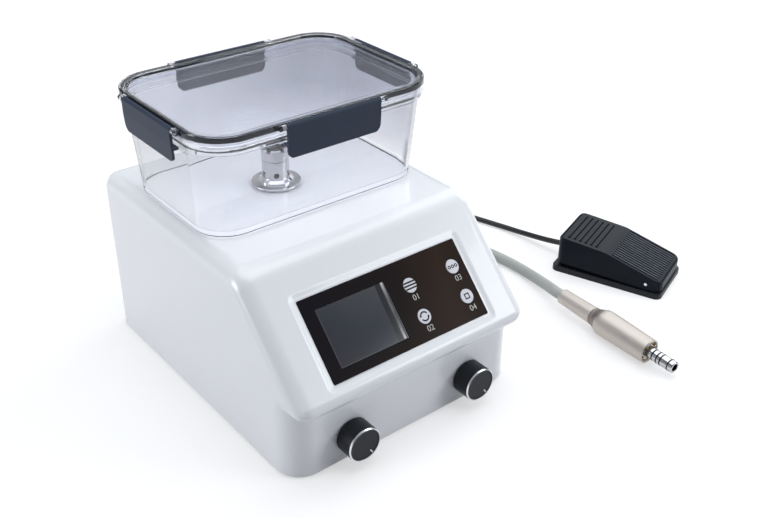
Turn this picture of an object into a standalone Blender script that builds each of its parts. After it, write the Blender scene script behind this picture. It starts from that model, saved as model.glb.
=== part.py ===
# Dental micromotor: a control unit with a clear water tank on top, a handpiece motor on a hose and a foot
# switch on a cable. Metres, +Z up, standing on z = 0. Everything is first placed about the middle of the
# control unit, whose front faces -Y, and the whole set is then moved so that its footprint is centred.

from math import asin, atan2, ceil, cos, degrees, pi, radians, sin, tan

import bmesh
import bpy
import numpy as np
from mathutils import Matrix, Vector

# Shared by all pieces
fit_gap = 0.0003
overrun = 0.002
round_sides = 24
small_round_sides = 14
hole_sides = 8
weld_distance = 0.00001
bevel_angle = radians(40)

# Control unit: outer shape of the shell, its side outline seen along X
housing_width = 0.205
housing_depth = 0.256
housing_top = 0.138
skirt_bottom = 0.0015
crease_from_front = 0.0591
hood_slant = radians(46)
hood_underside = 0.0546
housing_wall = 0.003
side_round = 0.012
back_round = 0.012
crease_round = 0.024
lip_round = 0.008
nook_round = 0.002
least_round = 0.0005
side_steps = 4
top_arc_steps = 4
lip_arc_steps = 6
nook_arc_steps = 2

# Display panel, let into the slanted hood
panel_down_slope = 0.0607
panel_width = 0.138
panel_height = 0.0603
panel_corner = 0.0012
panel_thickness = 0.0012
panel_sink = 0.0004
window_width = 0.0583
window_height = 0.0431
window_x = -0.03005
window_y = -0.00085
display_sink = 0.0002
board_width = 0.130
board_height = 0.054
board_thickness = 0.0016
board_drop = 0.0023
boss_radius = 0.0025
boss_in = 0.003

# Keys: x and y on the panel, from its middle
key_places = {
    "key_mode": (0.0177, 0.0107),
    "key_direction": (0.0175, -0.0133),
    "key_air": (0.0579, 0.0112),
    "key_memory": (0.0582, -0.0127),
}
key_radius = 0.0054
key_sides = 16
key_proud = 0.0003
key_travel = 0.0004
key_stem_radius = 0.0024
key_foot_radius = 0.0034
key_foot_thickness = 0.0007

# Knobs and their potentiometers
knob_x = 0.0534
knob_z = 0.0214
knob_radius = 0.0133
knob_standoff = 0.0008
knob_length = 0.0152
knob_back_chamfer = 0.0006
ring_seat_radius = 0.0113
ring_seat_depth = 0.0012
ring_proud = 0.0002
ring_chamfer = 0.0007
ring_back_radius = 0.0132
shaft_radius = 0.0029
shaft_in_knob = 0.0105
pot_radius = 0.0085
pot_depth = 0.0105
pot_bushing_radius = 0.0045
pot_bushing_proud = 0.0003
pot_bore_left = 0.003

# Base plate and feet
base_plate_bottom = 0.0033
base_plate_thickness = 0.003
foot_from_side = 0.0175
foot_from_end = 0.023
foot_radius = 0.008
foot_sides = 12
foot_round = 0.0008
foot_stem_radius = 0.0025
foot_head_radius = 0.0036
foot_head_height = 0.0014

# Inside the control unit
logic_board = (0.080, 0.070, 0.0016)
logic_board_from_side = 0.0575
logic_board_from_front = 0.093
logic_board_lift = 0.008
standoff_radius = 0.0025
standoff_in = 0.005
chip_size = (0.022, 0.022, 0.003)
chip_place_shares = (-1 / 6, 0)
heat_sink_size = (0.030, 0.012, 0.018)
heat_sink_place_shares = (1 / 5, 1 / 4)
plug_size = (0.030, 0.007, 0.009)
plug_place_shares = (1 / 5, -1 / 3)
supply_frame = (0.060, 0.032)
supply_from_side = 0.0425
supply_from_back = 0.028
supply_from_board = 0.010
supply_choke = (0.026, 0.030, 0.010)
supply_can_radius = 0.009
supply_can_height = 0.012
supply_can_apart = 0.0252
supply_can_back_share = 1 / 3
air_pump_from_side = 0.0425
air_pump_from_back = 0.024
air_pump_from_water_pump = 0.025
air_pump_radius = 0.018
air_pump_head = (0.042, 0.024, 0.044)
water_pump_from_side = 0.0505
water_pump_from_front = 0.059
water_pump_radius = 0.013
water_pump_length = 0.040
water_pump_head = (0.032, 0.018, 0.032)
pump_port_radius = 0.003
pump_port_length = 0.010

# Mains inlet with its rocker, on the back
inlet_x = -0.060
inlet_z = 0.045
inlet_flange = (0.031, 0.054, 0.0025)
inlet_body = (0.0264, 0.0464)
inlet_body_depth = 0.022
inlet_edge = 0.0012
socket_size = (0.0225, 0.0160)
socket_drop = 0.0115
socket_depth = 0.0168
socket_pins = ((-0.007, -0.002), (0.0, 0.002), (0.007, -0.002))
socket_pin_size = (0.002, 0.004, 0.009)
rocker_lift = 0.0105
rocker_width = 0.0130
rocker_half_height = 0.0093
rocker_front = 0.0034
rocker_dip = 0.0026
rocker_back_half = 0.0080
rocker_back = 0.0058
rocker_tilt = radians(7)
rocker_clearance = 0.0006
rocker_well = 0.0100

# Glands on the back: each is a boot on a flange, with a lip behind the wall
hose_radius = 0.00475
cable_radius = 0.0025
hose_gland_x = 0.065
hose_gland_z = 0.040
cable_gland_x = -0.030
cable_gland_z = 0.030
gland_flange_thickness = 0.0025
gland_lip_thickness = 0.0022
hose_boot_length = 0.022
hose_boot_wall = 0.0014
hose_boot_root = 0.0084
hose_gland_flange = 0.0110
hose_gland_neck = 0.0066
hose_gland_lip = 0.0086
hose_core_radius = 0.0030
cable_boot_length = 0.018
cable_boot_wall = 0.0009
cable_boot_root = 0.0054
cable_gland_flange = 0.0075
cable_gland_neck = 0.0042
cable_gland_lip = 0.0060
cable_core_radius = 0.0016
gland_grip = 0.018

# Tank: its lip stands in from the lid, its wall from the lip and its foot from the wall, along X and Y
tank_from_back = 0.095
tank_wall_lean = (0.0030, 0.0038)
tank_foot_corner = 0.026
tank_flange_reach = (0.0022, 0.0058)
tank_top_corner = 0.0285
tank_foot_round = 0.003
tank_wall = 0.0021
tank_floor = 0.0024
tank_lip_height = 0.0652
tank_lip_thickness = 0.0025
tank_lip_inset = 0.0015
tank_lip_corner = 0.030
tank_rim_height = 0.0090
tank_rim_wall = 0.0017
corner_steps = 5

# Lid, given by its half widths along X and Y, and its gasket
lid_half = (0.0987, 0.0718)
lid_corner = 0.031
lid_rise = 0.0053
lid_skirt_gap = 0.0024
lid_skirt_wall = 0.0016
lid_edge_round = 0.0010
lid_roof = 0.0012
lid_ring_width = 0.0057
lid_recess = 0.003
lid_panel = 0.0018
lid_inner_wall = 0.0015
lid_plug_depth = 0.0083
gasket_side_gap = 0.00025

# Latches: each hangs on the lid between two knuckles
latch_barrel_radius = 0.00215
latch_out = 0.00245
latch_thickness = 0.0020
latch_tail = 0.0105
latch_corner = 0.006
latch_long_from_corner = 0.0287
latch_short_from_corner = 0.0068
latch_rib_thickness = 0.0020
latch_lip_gap = 0.00035
latch_bead = 0.0008
latch_pin_radius = 0.0010
latch_pin_length = 0.003
knuckle_length = 0.006
knuckle_root = 0.0005
knuckle_web_share = 0.8
latch_arc_steps = 10

# Outlet column in the tank's floor
column_x = -0.0076
column_behind_tank = -0.0077
column_radius = 0.01035
column_flange_radius = 0.0187
column_flange_height = 0.0018
column_step_radius = 0.013
column_step_height = 0.0033
column_neck_height = 0.0053
column_seam_height = 0.0199
column_height = 0.0288
column_bore = 0.0074
column_bore_height = 0.0041
column_spigot_wall = 0.0015
column_spigot_length = 0.0055
column_hole_radius = 0.00215
column_hole_height = 0.0091
column_holes = 6
column_shank_radius = 0.0090
column_shank_drop = 0.0115
column_barb_radius = 0.0045
column_barb_neck = 0.0035
column_barb_length = 0.0135
column_drain_radius = 0.0022
cap_slot_width = 0.0034
cap_slot_depth = 0.0022
cap_slots = 3
seal_inner = 0.0113
seal_outer = 0.0147
seal_thickness = 0.0009
nut_radius = 0.0150
nut_height = 0.0060
nut_sides = 6

# Handpiece motor: stations along its axis from the tail, and radii
motor_tail = (0.2014, -0.0899)
motor_heading = radians(-91.85)
motor_lift = 0.0001
sleeve_length = 0.0361
sleeve_tail_radius = 0.0066
sleeve_front_radius = 0.0076
sleeve_tail_chamfer = 0.0007
hose_in_sleeve = 0.008
sleeve_socket = 0.0080
spigot_radius = 0.0050
shoulder_start = 0.0390
shoulder_start_radius = 0.0078
shoulder_middle = 0.0430
shoulder_middle_radius = 0.0095
shoulder_late = 0.0465
shoulder_late_radius = 0.0110
body_rear = 0.0495
body_rear_radius = 0.0114
body_front = 0.0961
body_front_radius = 0.01035
body_front_chamfer = 0.0005
body_bore = 0.0088
body_bore_floor = 0.0515
wire_bore = 0.0022
stator_front = 0.0840
stator_bore = 0.0050
rotor_radius = 0.0046
rotor_rear = 0.0550
rotor_front = 0.0832
spindle_radius = 0.0016
spindle_tip = 0.1120
nose_flange = 0.0027
nose_sides = 14
nose_radius = 0.00495
nose_tip = 0.1214
nose_chamfer = 0.0006
nose_bore = 0.0032
nose_bearing_front = 0.0920
contact_front = 0.0922
ring_stations = (0.1016, 0.1060, 0.1095, 0.1169)
ring_wire_radius = 0.0005
ring_wire_sides = 5
ring_proud_of_nose = 0.0002
ring_groove_gap = 0.00025

# Foot switch: a runs along it from the cable to the toe, b across it
pedal_x = 0.2877
pedal_y = -0.0767
pedal_heading = radians(-69.38)
pedal_base_length = 0.102
pedal_base_width = 0.0604
pedal_base_corner = 0.006
pedal_base_height = 0.005
pedal_cover_width = 0.0553
pedal_back = -0.0483
pedal_break = -0.0030
pedal_front = 0.0497
pedal_back_top = 0.0345
pedal_break_top = 0.0306
pedal_front_top = 0.0153
pedal_back_round = 0.004
pedal_break_round = 0.020
pedal_front_round = 0.003
pedal_foot_round = 0.0005
pedal_edge_round = 0.0022
pedal_edge_angle = radians(60)
pedal_wall = 0.002
pedal_skirt_gap = 0.0004
pedal_press = radians(2.0)
pedal_press_spare = radians(0.3)
pedal_pin_a = 0.036
pedal_pin_z = 0.0107
pedal_pin_radius = 0.0015
pedal_grooves = 6
pedal_groove_first = -0.039
pedal_groove_pitch = 0.0052
pedal_groove_width = 0.0010
pedal_groove_length = 0.046
pedal_groove_depth = 0.0007
pedal_ribs = 15
pedal_rib_from = 0.002
pedal_rib_to = 0.0455
pedal_rib_span = 0.049
pedal_rib_groove = 0.0013
pedal_rib_depth = 0.0006
upstand_back = -0.0445
upstand_front = 0.0460
upstand_half_width = 0.0246
upstand_wall = 0.002
upstand_top = 0.0120
lug_half_length = 0.0035
lug_top = 0.0142
cable_block_length = 0.0080
cable_block_width = 0.012
cable_block_top = 0.0165
cable_in_pedal_z = 0.0120
cable_in_block = 0.0050
cable_notch_width = 0.0074
cable_notch_top = 0.0185
spring_a = -0.020
spring_coil_radius = 0.0040
spring_wire_radius = 0.0005
spring_turns = 5
spring_points = 8
spring_post_radius = 0.0028
spring_post_height = 0.006
switch_place = (0.008, 0.010)
switch_size = (0.0198, 0.0064, 0.0102)
switch_plunger = (0.0030, 0.0030, 0.0014)
actuator_size = 0.0036
actuator_gap = 0.0012

# Coils of the hose and the cable, laid on the floor behind the control unit
route_steps = 20
gap_steps = 5
hose_point_spacing = 0.019
cable_point_spacing = 0.015
coil_loop_points = 24
coil_resolution = 1
cord_resolution = 2
hose_coil_turns = 3.5
hose_coil_radius = 0.048
hose_coil_behind = 0.100
hose_coil_pitch = 0.0110
hose_coil_rise = 0.0105
cable_coil_turns = 4.25
cable_coil_radius = 0.0300
cable_coil_behind = 0.138
cable_coil_pitch = 0.0062
cable_coil_rise = 0.0059
least_self_gap = 0.0004

# Routes of the free stretches, on the floor unless a height is given. Each starts and ends at the place
# worked out from the pieces that it joins.
hose_lead_route = [
    (0.0650, 0.1680, 0.0385),
    (0.0650, 0.1800, 0.0310),
    (0.0650, 0.1910, 0.0200),
    (0.0650, 0.2020, 0.0105),
    (0.0650, 0.2120, 0.0060),
]
hose_route = [
    (0.1806, 0.1990, 0.0149),
    (0.1822, 0.1790, 0.0110),
    (0.1852, 0.1590, 0.0068),
    (0.1890, 0.1380, 0.0049),
    (0.1932, 0.1140, 0.0049),
    (0.1980, 0.0860, 0.0049),
    (0.2030, 0.0570, 0.0049),
    (0.2082, 0.0280, 0.0049),
    (0.2119, 0.0060, 0.0049),
    (0.2140, -0.0120, 0.0049),
    (0.2141, -0.0280, 0.0052),
    (0.2123, -0.0440, 0.0064),
    (0.2091, -0.0580, 0.0083),
    (0.2055, -0.0700, 0.0105),
]
cable_lead_route = [
    (-0.0300, 0.1600, 0.0290),
    (-0.0300, 0.1740, 0.0250),
    (-0.0300, 0.1880, 0.0178),
    (-0.0300, 0.2020, 0.0100),
    (-0.0300, 0.2160, 0.0046),
    (-0.0300, 0.2320, 0.0028),
    (-0.0300, 0.2480, 0.0028),
]
cable_route = [
    (0.0260, 0.3045, 0.0072),
    (0.0480, 0.3075, 0.0042),
    (0.0700, 0.3110, 0.0028),
    (0.0950, 0.3140, 0.0028),
    (0.1200, 0.3150, 0.0028),
    (0.1450, 0.3130, 0.0028),
    (0.1680, 0.3070, 0.0028),
    (0.1890, 0.2960, 0.0028),
    (0.2060, 0.2790, 0.0028),
    (0.2180, 0.2560, 0.0028),
    (0.2250, 0.2300, 0.0028),
    (0.2290, 0.2020, 0.0028),
    (0.2325, 0.1700, 0.0028),
    (0.2360, 0.1400, 0.0028),
    (0.2410, 0.1080, 0.0028),
    (0.2475, 0.0800, 0.0028),
    (0.2545, 0.0580, 0.0028),
    (0.2600, 0.0390, 0.0031),
    (0.2632, 0.0200, 0.0047),
    (0.2645, 0.0020, 0.0075),
    (0.2660, -0.0140, 0.0102),
]

# Sizes that follow from those above
half_width = housing_width / 2
front_y = -housing_depth / 2
back_y = housing_depth / 2
crease_y = front_y + crease_from_front
tip_y = crease_y - (housing_top - hood_underside) / tan(hood_slant)
foot_x = half_width - foot_from_side
foot_y = back_y - foot_from_end
base_plate_top = base_plate_bottom + base_plate_thickness
floor_of_inside = base_plate_top + fit_gap
panel_y = crease_y - panel_down_slope * cos(hood_slant)
panel_z = housing_top - panel_down_slope * sin(hood_slant)
panel_bottom = -panel_sink - panel_thickness
pocket_floor = panel_bottom - fit_gap
board_top = -housing_wall - board_drop
roof_inside = housing_top - housing_wall
tank_bottom = housing_top + fit_gap
tank_floor_top = tank_bottom + tank_floor
tank_y = back_y - tank_from_back
tank_lip = (lid_half[0] - tank_lip_inset, lid_half[1] - tank_lip_inset)
tank_top = (tank_lip[0] - tank_flange_reach[0], tank_lip[1] - tank_flange_reach[1])
tank_foot = (tank_top[0] - tank_wall_lean[0], tank_top[1] - tank_wall_lean[1])
tank_lip_z = tank_bottom + tank_lip_height
tank_lip_top = tank_lip_z + tank_lip_thickness
tank_rim_top = tank_lip_z + tank_rim_height
lid_top = tank_rim_top + lid_rise
lid_skirt_bottom = tank_lip_top + lid_skirt_gap
lid_plug_bottom = lid_top - lid_plug_depth
hinge_z = lid_top - latch_barrel_radius
latch_bottom = tank_lip_z - latch_tail
latch_half_long = lid_half[0] - lid_corner - latch_long_from_corner
latch_half_short = lid_half[1] - lid_corner - latch_short_from_corner
latch_rib_top = tank_lip_z - fit_gap
latch_rib_bottom = latch_rib_top - latch_rib_thickness
column_y = tank_y + column_behind_tank
column_flange_top = tank_floor_top + column_flange_height
column_step_top = tank_floor_top + column_step_height
column_neck_top = tank_floor_top + column_neck_height
column_seam = tank_floor_top + column_seam_height
column_top = tank_floor_top + column_height
column_bore_floor = tank_floor_top + column_bore_height
column_hole_z = tank_floor_top + column_hole_height
column_shank_bottom = roof_inside - column_shank_drop
column_barb_bottom = column_shank_bottom - column_barb_length
hose_bore = hose_radius + fit_gap
cable_bore = cable_radius + fit_gap

pieces = bpy.data.collections.new("dental_micromotor")
helpers = bpy.data.collections.new("cutters")


def clear_scene():
    for old in list(bpy.data.objects):
        bpy.data.objects.remove(old, do_unlink=True)
    bpy.context.scene.collection.children.link(pieces)
    bpy.context.scene.collection.children.link(helpers)


def finish(name, colour, roughness, metallic=0.0, alpha=1.0):
    """A Principled material of this colour, linear RGB."""
    made = bpy.data.materials.new(name)
    made.use_nodes = True
    shader = made.node_tree.nodes["Principled BSDF"]
    shader.inputs["Base Color"].default_value = (*colour, 1)
    shader.inputs["Roughness"].default_value = roughness
    shader.inputs["Metallic"].default_value = metallic
    shader.inputs["Alpha"].default_value = alpha
    made.diffuse_color = (*colour, alpha)
    return made


def frame(name, place=(0, 0, 0), turn=(0, 0, 0), parent=None):
    """An empty that carries pieces."""
    made = bpy.data.objects.new(name, None)
    made.location = place
    made.rotation_euler = turn
    made.parent = parent
    made.empty_display_size = key_radius
    pieces.objects.link(made)
    return made


def piece(name, data, material, parent, place=(0, 0, 0), turn=(0, 0, 0)):
    """A named sub-part. Its modifiers are added by the caller."""
    made = bpy.data.objects.new(name, data)
    made.location = place
    made.rotation_euler = turn
    made.parent = parent
    data.materials.append(material)
    pieces.objects.link(made)
    return made


def helper(name, data, parent, place=(0, 0, 0), turn=(0, 0, 0)):
    """A body that is cut from a piece or joined to one, and isn't a piece itself."""
    made = bpy.data.objects.new(name, data)
    made.location = place
    made.rotation_euler = turn
    made.parent = parent
    made.hide_render = True
    made.display_type = "WIRE"
    helpers.objects.link(made)
    return made


def combine(target, other, operation):
    modifier = target.modifiers.new(other.name, "BOOLEAN")
    modifier.operation = operation
    modifier.object = other
    modifier.solver = "EXACT"


def cut(target, *others):
    for other in others:
        combine(target, other, "DIFFERENCE")


def join(target, *others):
    for other in others:
        combine(target, other, "UNION")


def bevel(target, width, segments=2, angle=bevel_angle):
    modifier = target.modifiers.new("edge_round", "BEVEL")
    modifier.width = width
    modifier.segments = segments
    modifier.limit_method = "ANGLE"
    modifier.angle_limit = angle


def mesh_from(name, shape):
    bmesh.ops.recalc_face_normals(shape, faces=shape.faces)
    data = bpy.data.meshes.new(name)
    shape.to_mesh(data)
    shape.free()
    return data


def boxes(name, *sizes_and_middles):
    """One mesh of boxes, each given as its size and its middle."""
    shape = bmesh.new()
    for size, middle in sizes_and_middles:
        matrix = Matrix.Translation(middle) @ Matrix.Diagonal((*size, 1))
        bmesh.ops.create_cube(shape, size=1, matrix=matrix)
    return mesh_from(name, shape)


def box_between(low, high):
    """Size and middle of the box from its low corner to its high corner."""
    low = Vector(low)
    high = Vector(high)
    return high - low, (low + high) / 2


def rods(name, radius, length, middles, along="Z", sides=small_round_sides):
    """One mesh of round rods of one size, each given by its middle."""
    turns = {
        "X": Matrix.Rotation(pi / 2, 4, "Y"),
        "Y": Matrix.Rotation(pi / 2, 4, "X"),
        "Z": Matrix.Identity(4),
    }
    shape = bmesh.new()
    for middle in middles:
        bmesh.ops.create_cone(
            shape,
            cap_ends=True,
            segments=sides,
            radius1=radius,
            radius2=radius,
            depth=length,
            matrix=Matrix.Translation(middle) @ turns[along],
        )
    return mesh_from(name, shape)


def turned(
    name, outline, material, parent, place=(0, 0, 0), turn=(0, 0, 0), ring=False, sides=round_sides
):
    """A turned piece: its outline, as radius and height, runs down the outer side and turns about Z."""
    shape = bmesh.new()
    points = [shape.verts.new((radius, 0, height)) for radius, height in outline]
    for first, second in zip(points, points[1:]):
        shape.edges.new((first, second))
    if ring:
        shape.edges.new((points[-1], points[0]))
    data = bpy.data.meshes.new(name)
    shape.to_mesh(data)
    shape.free()
    made = piece(name, data, material, parent, place, turn)
    screw = made.modifiers.new("turn", "SCREW")
    screw.steps = sides
    screw.render_steps = sides
    screw.use_merge_vertices = True
    screw.merge_threshold = weld_distance
    return made


def slab(name, outline, thickness, axes="XY"):
    """A mesh of a flat outline given half its thickness each way, its axes laid on these two."""
    curve = bpy.data.curves.new(name, "CURVE")
    curve.dimensions = "2D"
    curve.fill_mode = "BOTH"
    curve.extrude = thickness / 2
    spline = curve.splines.new("POLY")
    spline.points.add(len(outline) - 1)
    for point, (across, up) in zip(spline.points, outline):
        point.co = (across, up, 0, 1)
    spline.use_cyclic_u = True
    drawn = bpy.data.objects.new(name + "_outline", curve)
    helpers.objects.link(drawn)
    evaluated = drawn.evaluated_get(bpy.context.evaluated_depsgraph_get())
    data = bpy.data.meshes.new_from_object(evaluated)
    data.name = name
    columns = {"X": Vector((1, 0, 0)), "Y": Vector((0, 1, 0)), "Z": Vector((0, 0, 1))}
    first = columns[axes[0]]
    second = columns[axes[1]]
    lay = Matrix((first, second, first.cross(second))).transposed().to_4x4()
    shape = bmesh.new()
    shape.from_mesh(data)
    bmesh.ops.remove_doubles(shape, verts=shape.verts, dist=weld_distance)
    bmesh.ops.transform(shape, matrix=lay, verts=shape.verts)
    bmesh.ops.recalc_face_normals(shape, faces=shape.faces)
    shape.to_mesh(data)
    shape.free()
    bpy.data.objects.remove(drawn, do_unlink=True)
    bpy.data.curves.remove(curve)
    return data


def loft(name, rings):
    """A closed mesh through rings of equally many points, capped at the first and the last."""
    shape = bmesh.new()
    rows = [[shape.verts.new(point) for point in ring] for ring in rings]
    count = len(rows[0])
    for low, high in zip(rows, rows[1:]):
        for i in range(count):
            j = (i + 1) % count
            shape.faces.new((low[i], low[j], high[j], high[i]))
    shape.faces.new(rows[0])
    shape.faces.new(rows[-1])
    return mesh_from(name, shape)


def rounded_rectangle(half, corner, z=None, middle=(0, 0)):
    """Points round a rectangle of these half widths with round corners, flat or at a height."""
    points = []
    for quarter, (side_x, side_y) in enumerate(((1, 1), (-1, 1), (-1, -1), (1, -1))):
        for step in range(corner_steps + 1):
            angle = (quarter + step / corner_steps) * pi / 2
            x = middle[0] + side_x * (half[0] - corner) + corner * cos(angle)
            y = middle[1] + side_y * (half[1] - corner) + corner * sin(angle)
            points.append((x, y) if z is None else (x, y, z))
    return points


def moved_in(corners, distances):
    """Corners of an outline whose side from each corner to the next is moved in by its distance."""
    lines = []
    for i, corner in enumerate(corners):
        start = Vector(corner)
        along = (Vector(corners[(i + 1) % len(corners)]) - start).normalized()
        lines.append((start + Vector((-along.y, along.x)) * distances[i], along))
    found = []
    for (first, along_first), (second, along_second) in zip(lines[-1:] + lines[:-1], lines):
        between = second - first
        crossing = along_first.x * along_second.y - along_first.y * along_second.x
        reach = (between.x * along_second.y - between.y * along_second.x) / crossing
        found.append(first + along_first * reach)
    return found


def filleted(corners, rounds, steps):
    """The outline through these corners with an arc of its own radius and steps at each."""
    points = []
    for i, corner in enumerate(corners):
        corner = Vector(corner)
        into = (corner - Vector(corners[i - 1])).normalized()
        out = (Vector(corners[(i + 1) % len(corners)]) - corner).normalized()
        if not steps[i]:
            points.append(tuple(corner))
            continue
        bend = atan2(into.x * out.y - into.y * out.x, into.dot(out))
        centre = corner + (out - into).normalized() * rounds[i] / cos(bend / 2)
        spoke = corner - into * rounds[i] * tan(abs(bend) / 2) - centre
        for step in range(steps[i] + 1):
            angle = bend * step / steps[i]
            x = centre.x + spoke.x * cos(angle) - spoke.y * sin(angle)
            y = centre.y + spoke.x * sin(angle) + spoke.y * cos(angle)
            points.append((x, y))
    return points


def smooth_path(points, spacing):
    """Points about this far apart on a smooth curve through these."""
    knots = [Vector(point) for point in points]
    knots = [knots[0] * 2 - knots[1]] + knots + [knots[-1] * 2 - knots[-2]]
    fine = []
    for before, start, end, after in zip(knots, knots[1:], knots[2:], knots[3:]):
        reach = (end - start).length
        leave = (end - before) / (end - before).length * reach
        arrive = (after - start) / (after - start).length * reach
        for step in range(route_steps):
            t = step / route_steps
            fine.append(
                start * (2 * t**3 - 3 * t**2 + 1)
                + leave * (t**3 - 2 * t**2 + t)
                + end * (3 * t**2 - 2 * t**3)
                + arrive * (t**3 - t**2)
            )
    fine.append(knots[-2])
    fine = np.array([tuple(point) for point in fine])
    gone = np.concatenate([[0], np.cumsum(np.linalg.norm(np.diff(fine, axis=0), axis=1))])
    stations = np.linspace(0, gone[-1], ceil(gone[-1] / spacing) + 1)
    return [tuple(np.interp(s, gone, fine[:, axis]) for axis in range(3)) for s in stations]


def path_length(points):
    return float(np.linalg.norm(np.diff(np.array(points), axis=0), axis=1).sum())


def tube(name, points, radius, material, parent, resolution):
    """A round tube along points."""
    curve = bpy.data.curves.new(name, "CURVE")
    curve.dimensions = "3D"
    curve.bevel_depth = radius
    curve.bevel_resolution = resolution
    curve.use_fill_caps = True
    spline = curve.splines.new("POLY")
    spline.points.add(len(points) - 1)
    for point, place in zip(spline.points, points):
        point.co = (*place, 1)
    return piece(name, curve, material, parent)


def coil_path(middle, turns, radius, pitch, rise, tube_radius, start_angle):
    """A flat clockwise coil of two layers: in on the floor, up one layer at its tightest, out again."""
    whole = 2 * pi * turns
    count = round(turns * coil_loop_points)
    points = []
    for step in range(count + 1):
        gone = whole * step / count
        from_tightest = gone - whole / 2
        reach = radius + pitch * (abs(from_tightest) / (2 * pi) - turns / 4)
        climb = min(max(from_tightest / pi + 0.5, 0), 1)
        height = tube_radius + rise * climb**2 * (3 - 2 * climb)
        angle = start_angle - gone
        points.append((middle[0] + reach * cos(angle), middle[1] + reach * sin(angle), height))
    first = np.array(points[0])
    last = np.array(points[-1])
    into = np.array((sin(start_angle), -cos(start_angle), 0))
    end_angle = start_angle - whole
    out = np.array((sin(end_angle), -cos(end_angle), 0))
    diameter = 2 * tube_radius
    return [tuple(first - into * diameter)] + points + [tuple(last + out * diameter)], into, out


def least_gap(points, radius, loop_points):
    """The least distance of a tube's surface to itself, beyond half a loop along it."""
    path = np.array(points)
    shares = np.linspace(0, 1, gap_steps, endpoint=False)[:, None]
    fine = np.concatenate([a + (b - a) * shares for a, b in zip(path, path[1:])])
    apart = np.linalg.norm(fine[:, None] - fine[None], axis=2)
    along = np.abs(np.arange(len(fine))[:, None] - np.arange(len(fine))[None])
    return float(apart[along > loop_points * gap_steps / 2].min() - 2 * radius)


clear_scene()
white_plastic = finish("white_plastic", (0.80, 0.82, 0.85), 0.25)
panel_glass = finish("panel_glass", (0.012, 0.008, 0.007), 0.12)
display_glass = finish("display_glass", (0.045, 0.05, 0.065), 0.15)
key_plastic = finish("key_plastic", (0.75, 0.78, 0.80), 0.35)
knob_plastic = finish("knob_plastic", (0.022, 0.024, 0.03), 0.4)
polished_metal = finish("polished_metal", (0.75, 0.76, 0.78), 0.15, 1.0)
chrome = finish("chrome", (0.8, 0.8, 0.8), 0.08, 1.0)
steel = finish("steel", (0.55, 0.56, 0.58), 0.3, 1.0)
motor_metal = finish("motor_metal", (0.33, 0.29, 0.27), 0.35, 0.9)
copper = finish("copper", (0.60, 0.30, 0.15), 0.35, 1.0)
brass = finish("brass", (0.65, 0.48, 0.2), 0.25, 1.0)
clear_plastic = finish("clear_plastic", (0.85, 0.87, 0.90), 0.05, 0.0, 0.25)
latch_plastic = finish("latch_plastic", (0.04, 0.045, 0.055), 0.3)
black_rubber = finish("black_rubber", (0.015, 0.015, 0.016), 0.7)
black_plastic = finish("black_plastic", (0.013, 0.014, 0.016), 0.45)
grey_hose = finish("grey_hose", (0.30, 0.33, 0.32), 0.5)
green_board = finish("green_board", (0.02, 0.15, 0.06), 0.5)
zinc = finish("zinc", (0.5, 0.51, 0.52), 0.4, 1.0)

facing_front = (pi / 2, 0, 0)
facing_back = (pi / 2, 0, pi)
unit = frame("set_frame")
panel_frame = frame("panel_frame", (0, panel_y, panel_z), (hood_slant, 0, 0), unit)
hose_gland_frame = frame("hose_gland_frame", (hose_gland_x, back_y, hose_gland_z), facing_back, unit)
cable_gland_frame = frame("cable_gland_frame", (cable_gland_x, back_y, cable_gland_z), facing_back, unit)
inlet_frame = frame("inlet_frame", (inlet_x, back_y, inlet_z), facing_back, unit)
column_frame = frame("column_frame", (column_x, column_y, 0), (0, 0, 0), unit)
knob_frames = {
    side: frame(f"knob_{side}_axis", (place, front_y, knob_z), facing_front, unit)
    for side, place in (("left", -knob_x), ("right", knob_x))
}


def side_outline(inset, drop):
    """The shell's outline seen along X, moved in by an inset, its bottom side moved down by a drop."""
    corners = moved_in(
        [
            (back_y, skirt_bottom),
            (back_y, housing_top),
            (crease_y, housing_top),
            (tip_y, hood_underside),
            (front_y, hood_underside),
            (front_y, skirt_bottom),
        ],
        [inset, inset, inset, inset, inset, -drop],
    )
    rounds = [max(size - inset, least_round) for size in (0, back_round, crease_round, lip_round)]
    return filleted(
        corners,
        rounds + [nook_round, 0],
        [0, top_arc_steps, top_arc_steps, lip_arc_steps, nook_arc_steps, 0],
    )


def shell_rings(inset, drop):
    """Side outlines across the unit, drawn in towards both sides to round its edges."""
    corner = side_round - inset
    angles = [pi / 2 * step / side_steps for step in range(side_steps + 1)]
    start = half_width - side_round
    right = [(start + corner * sin(angle), corner * (1 - cos(angle))) for angle in angles]
    across = [(-x, depth) for x, depth in reversed(right)] + right
    return [[(x, y, z) for y, z in side_outline(inset + depth, drop)] for x, depth in across]


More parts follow.
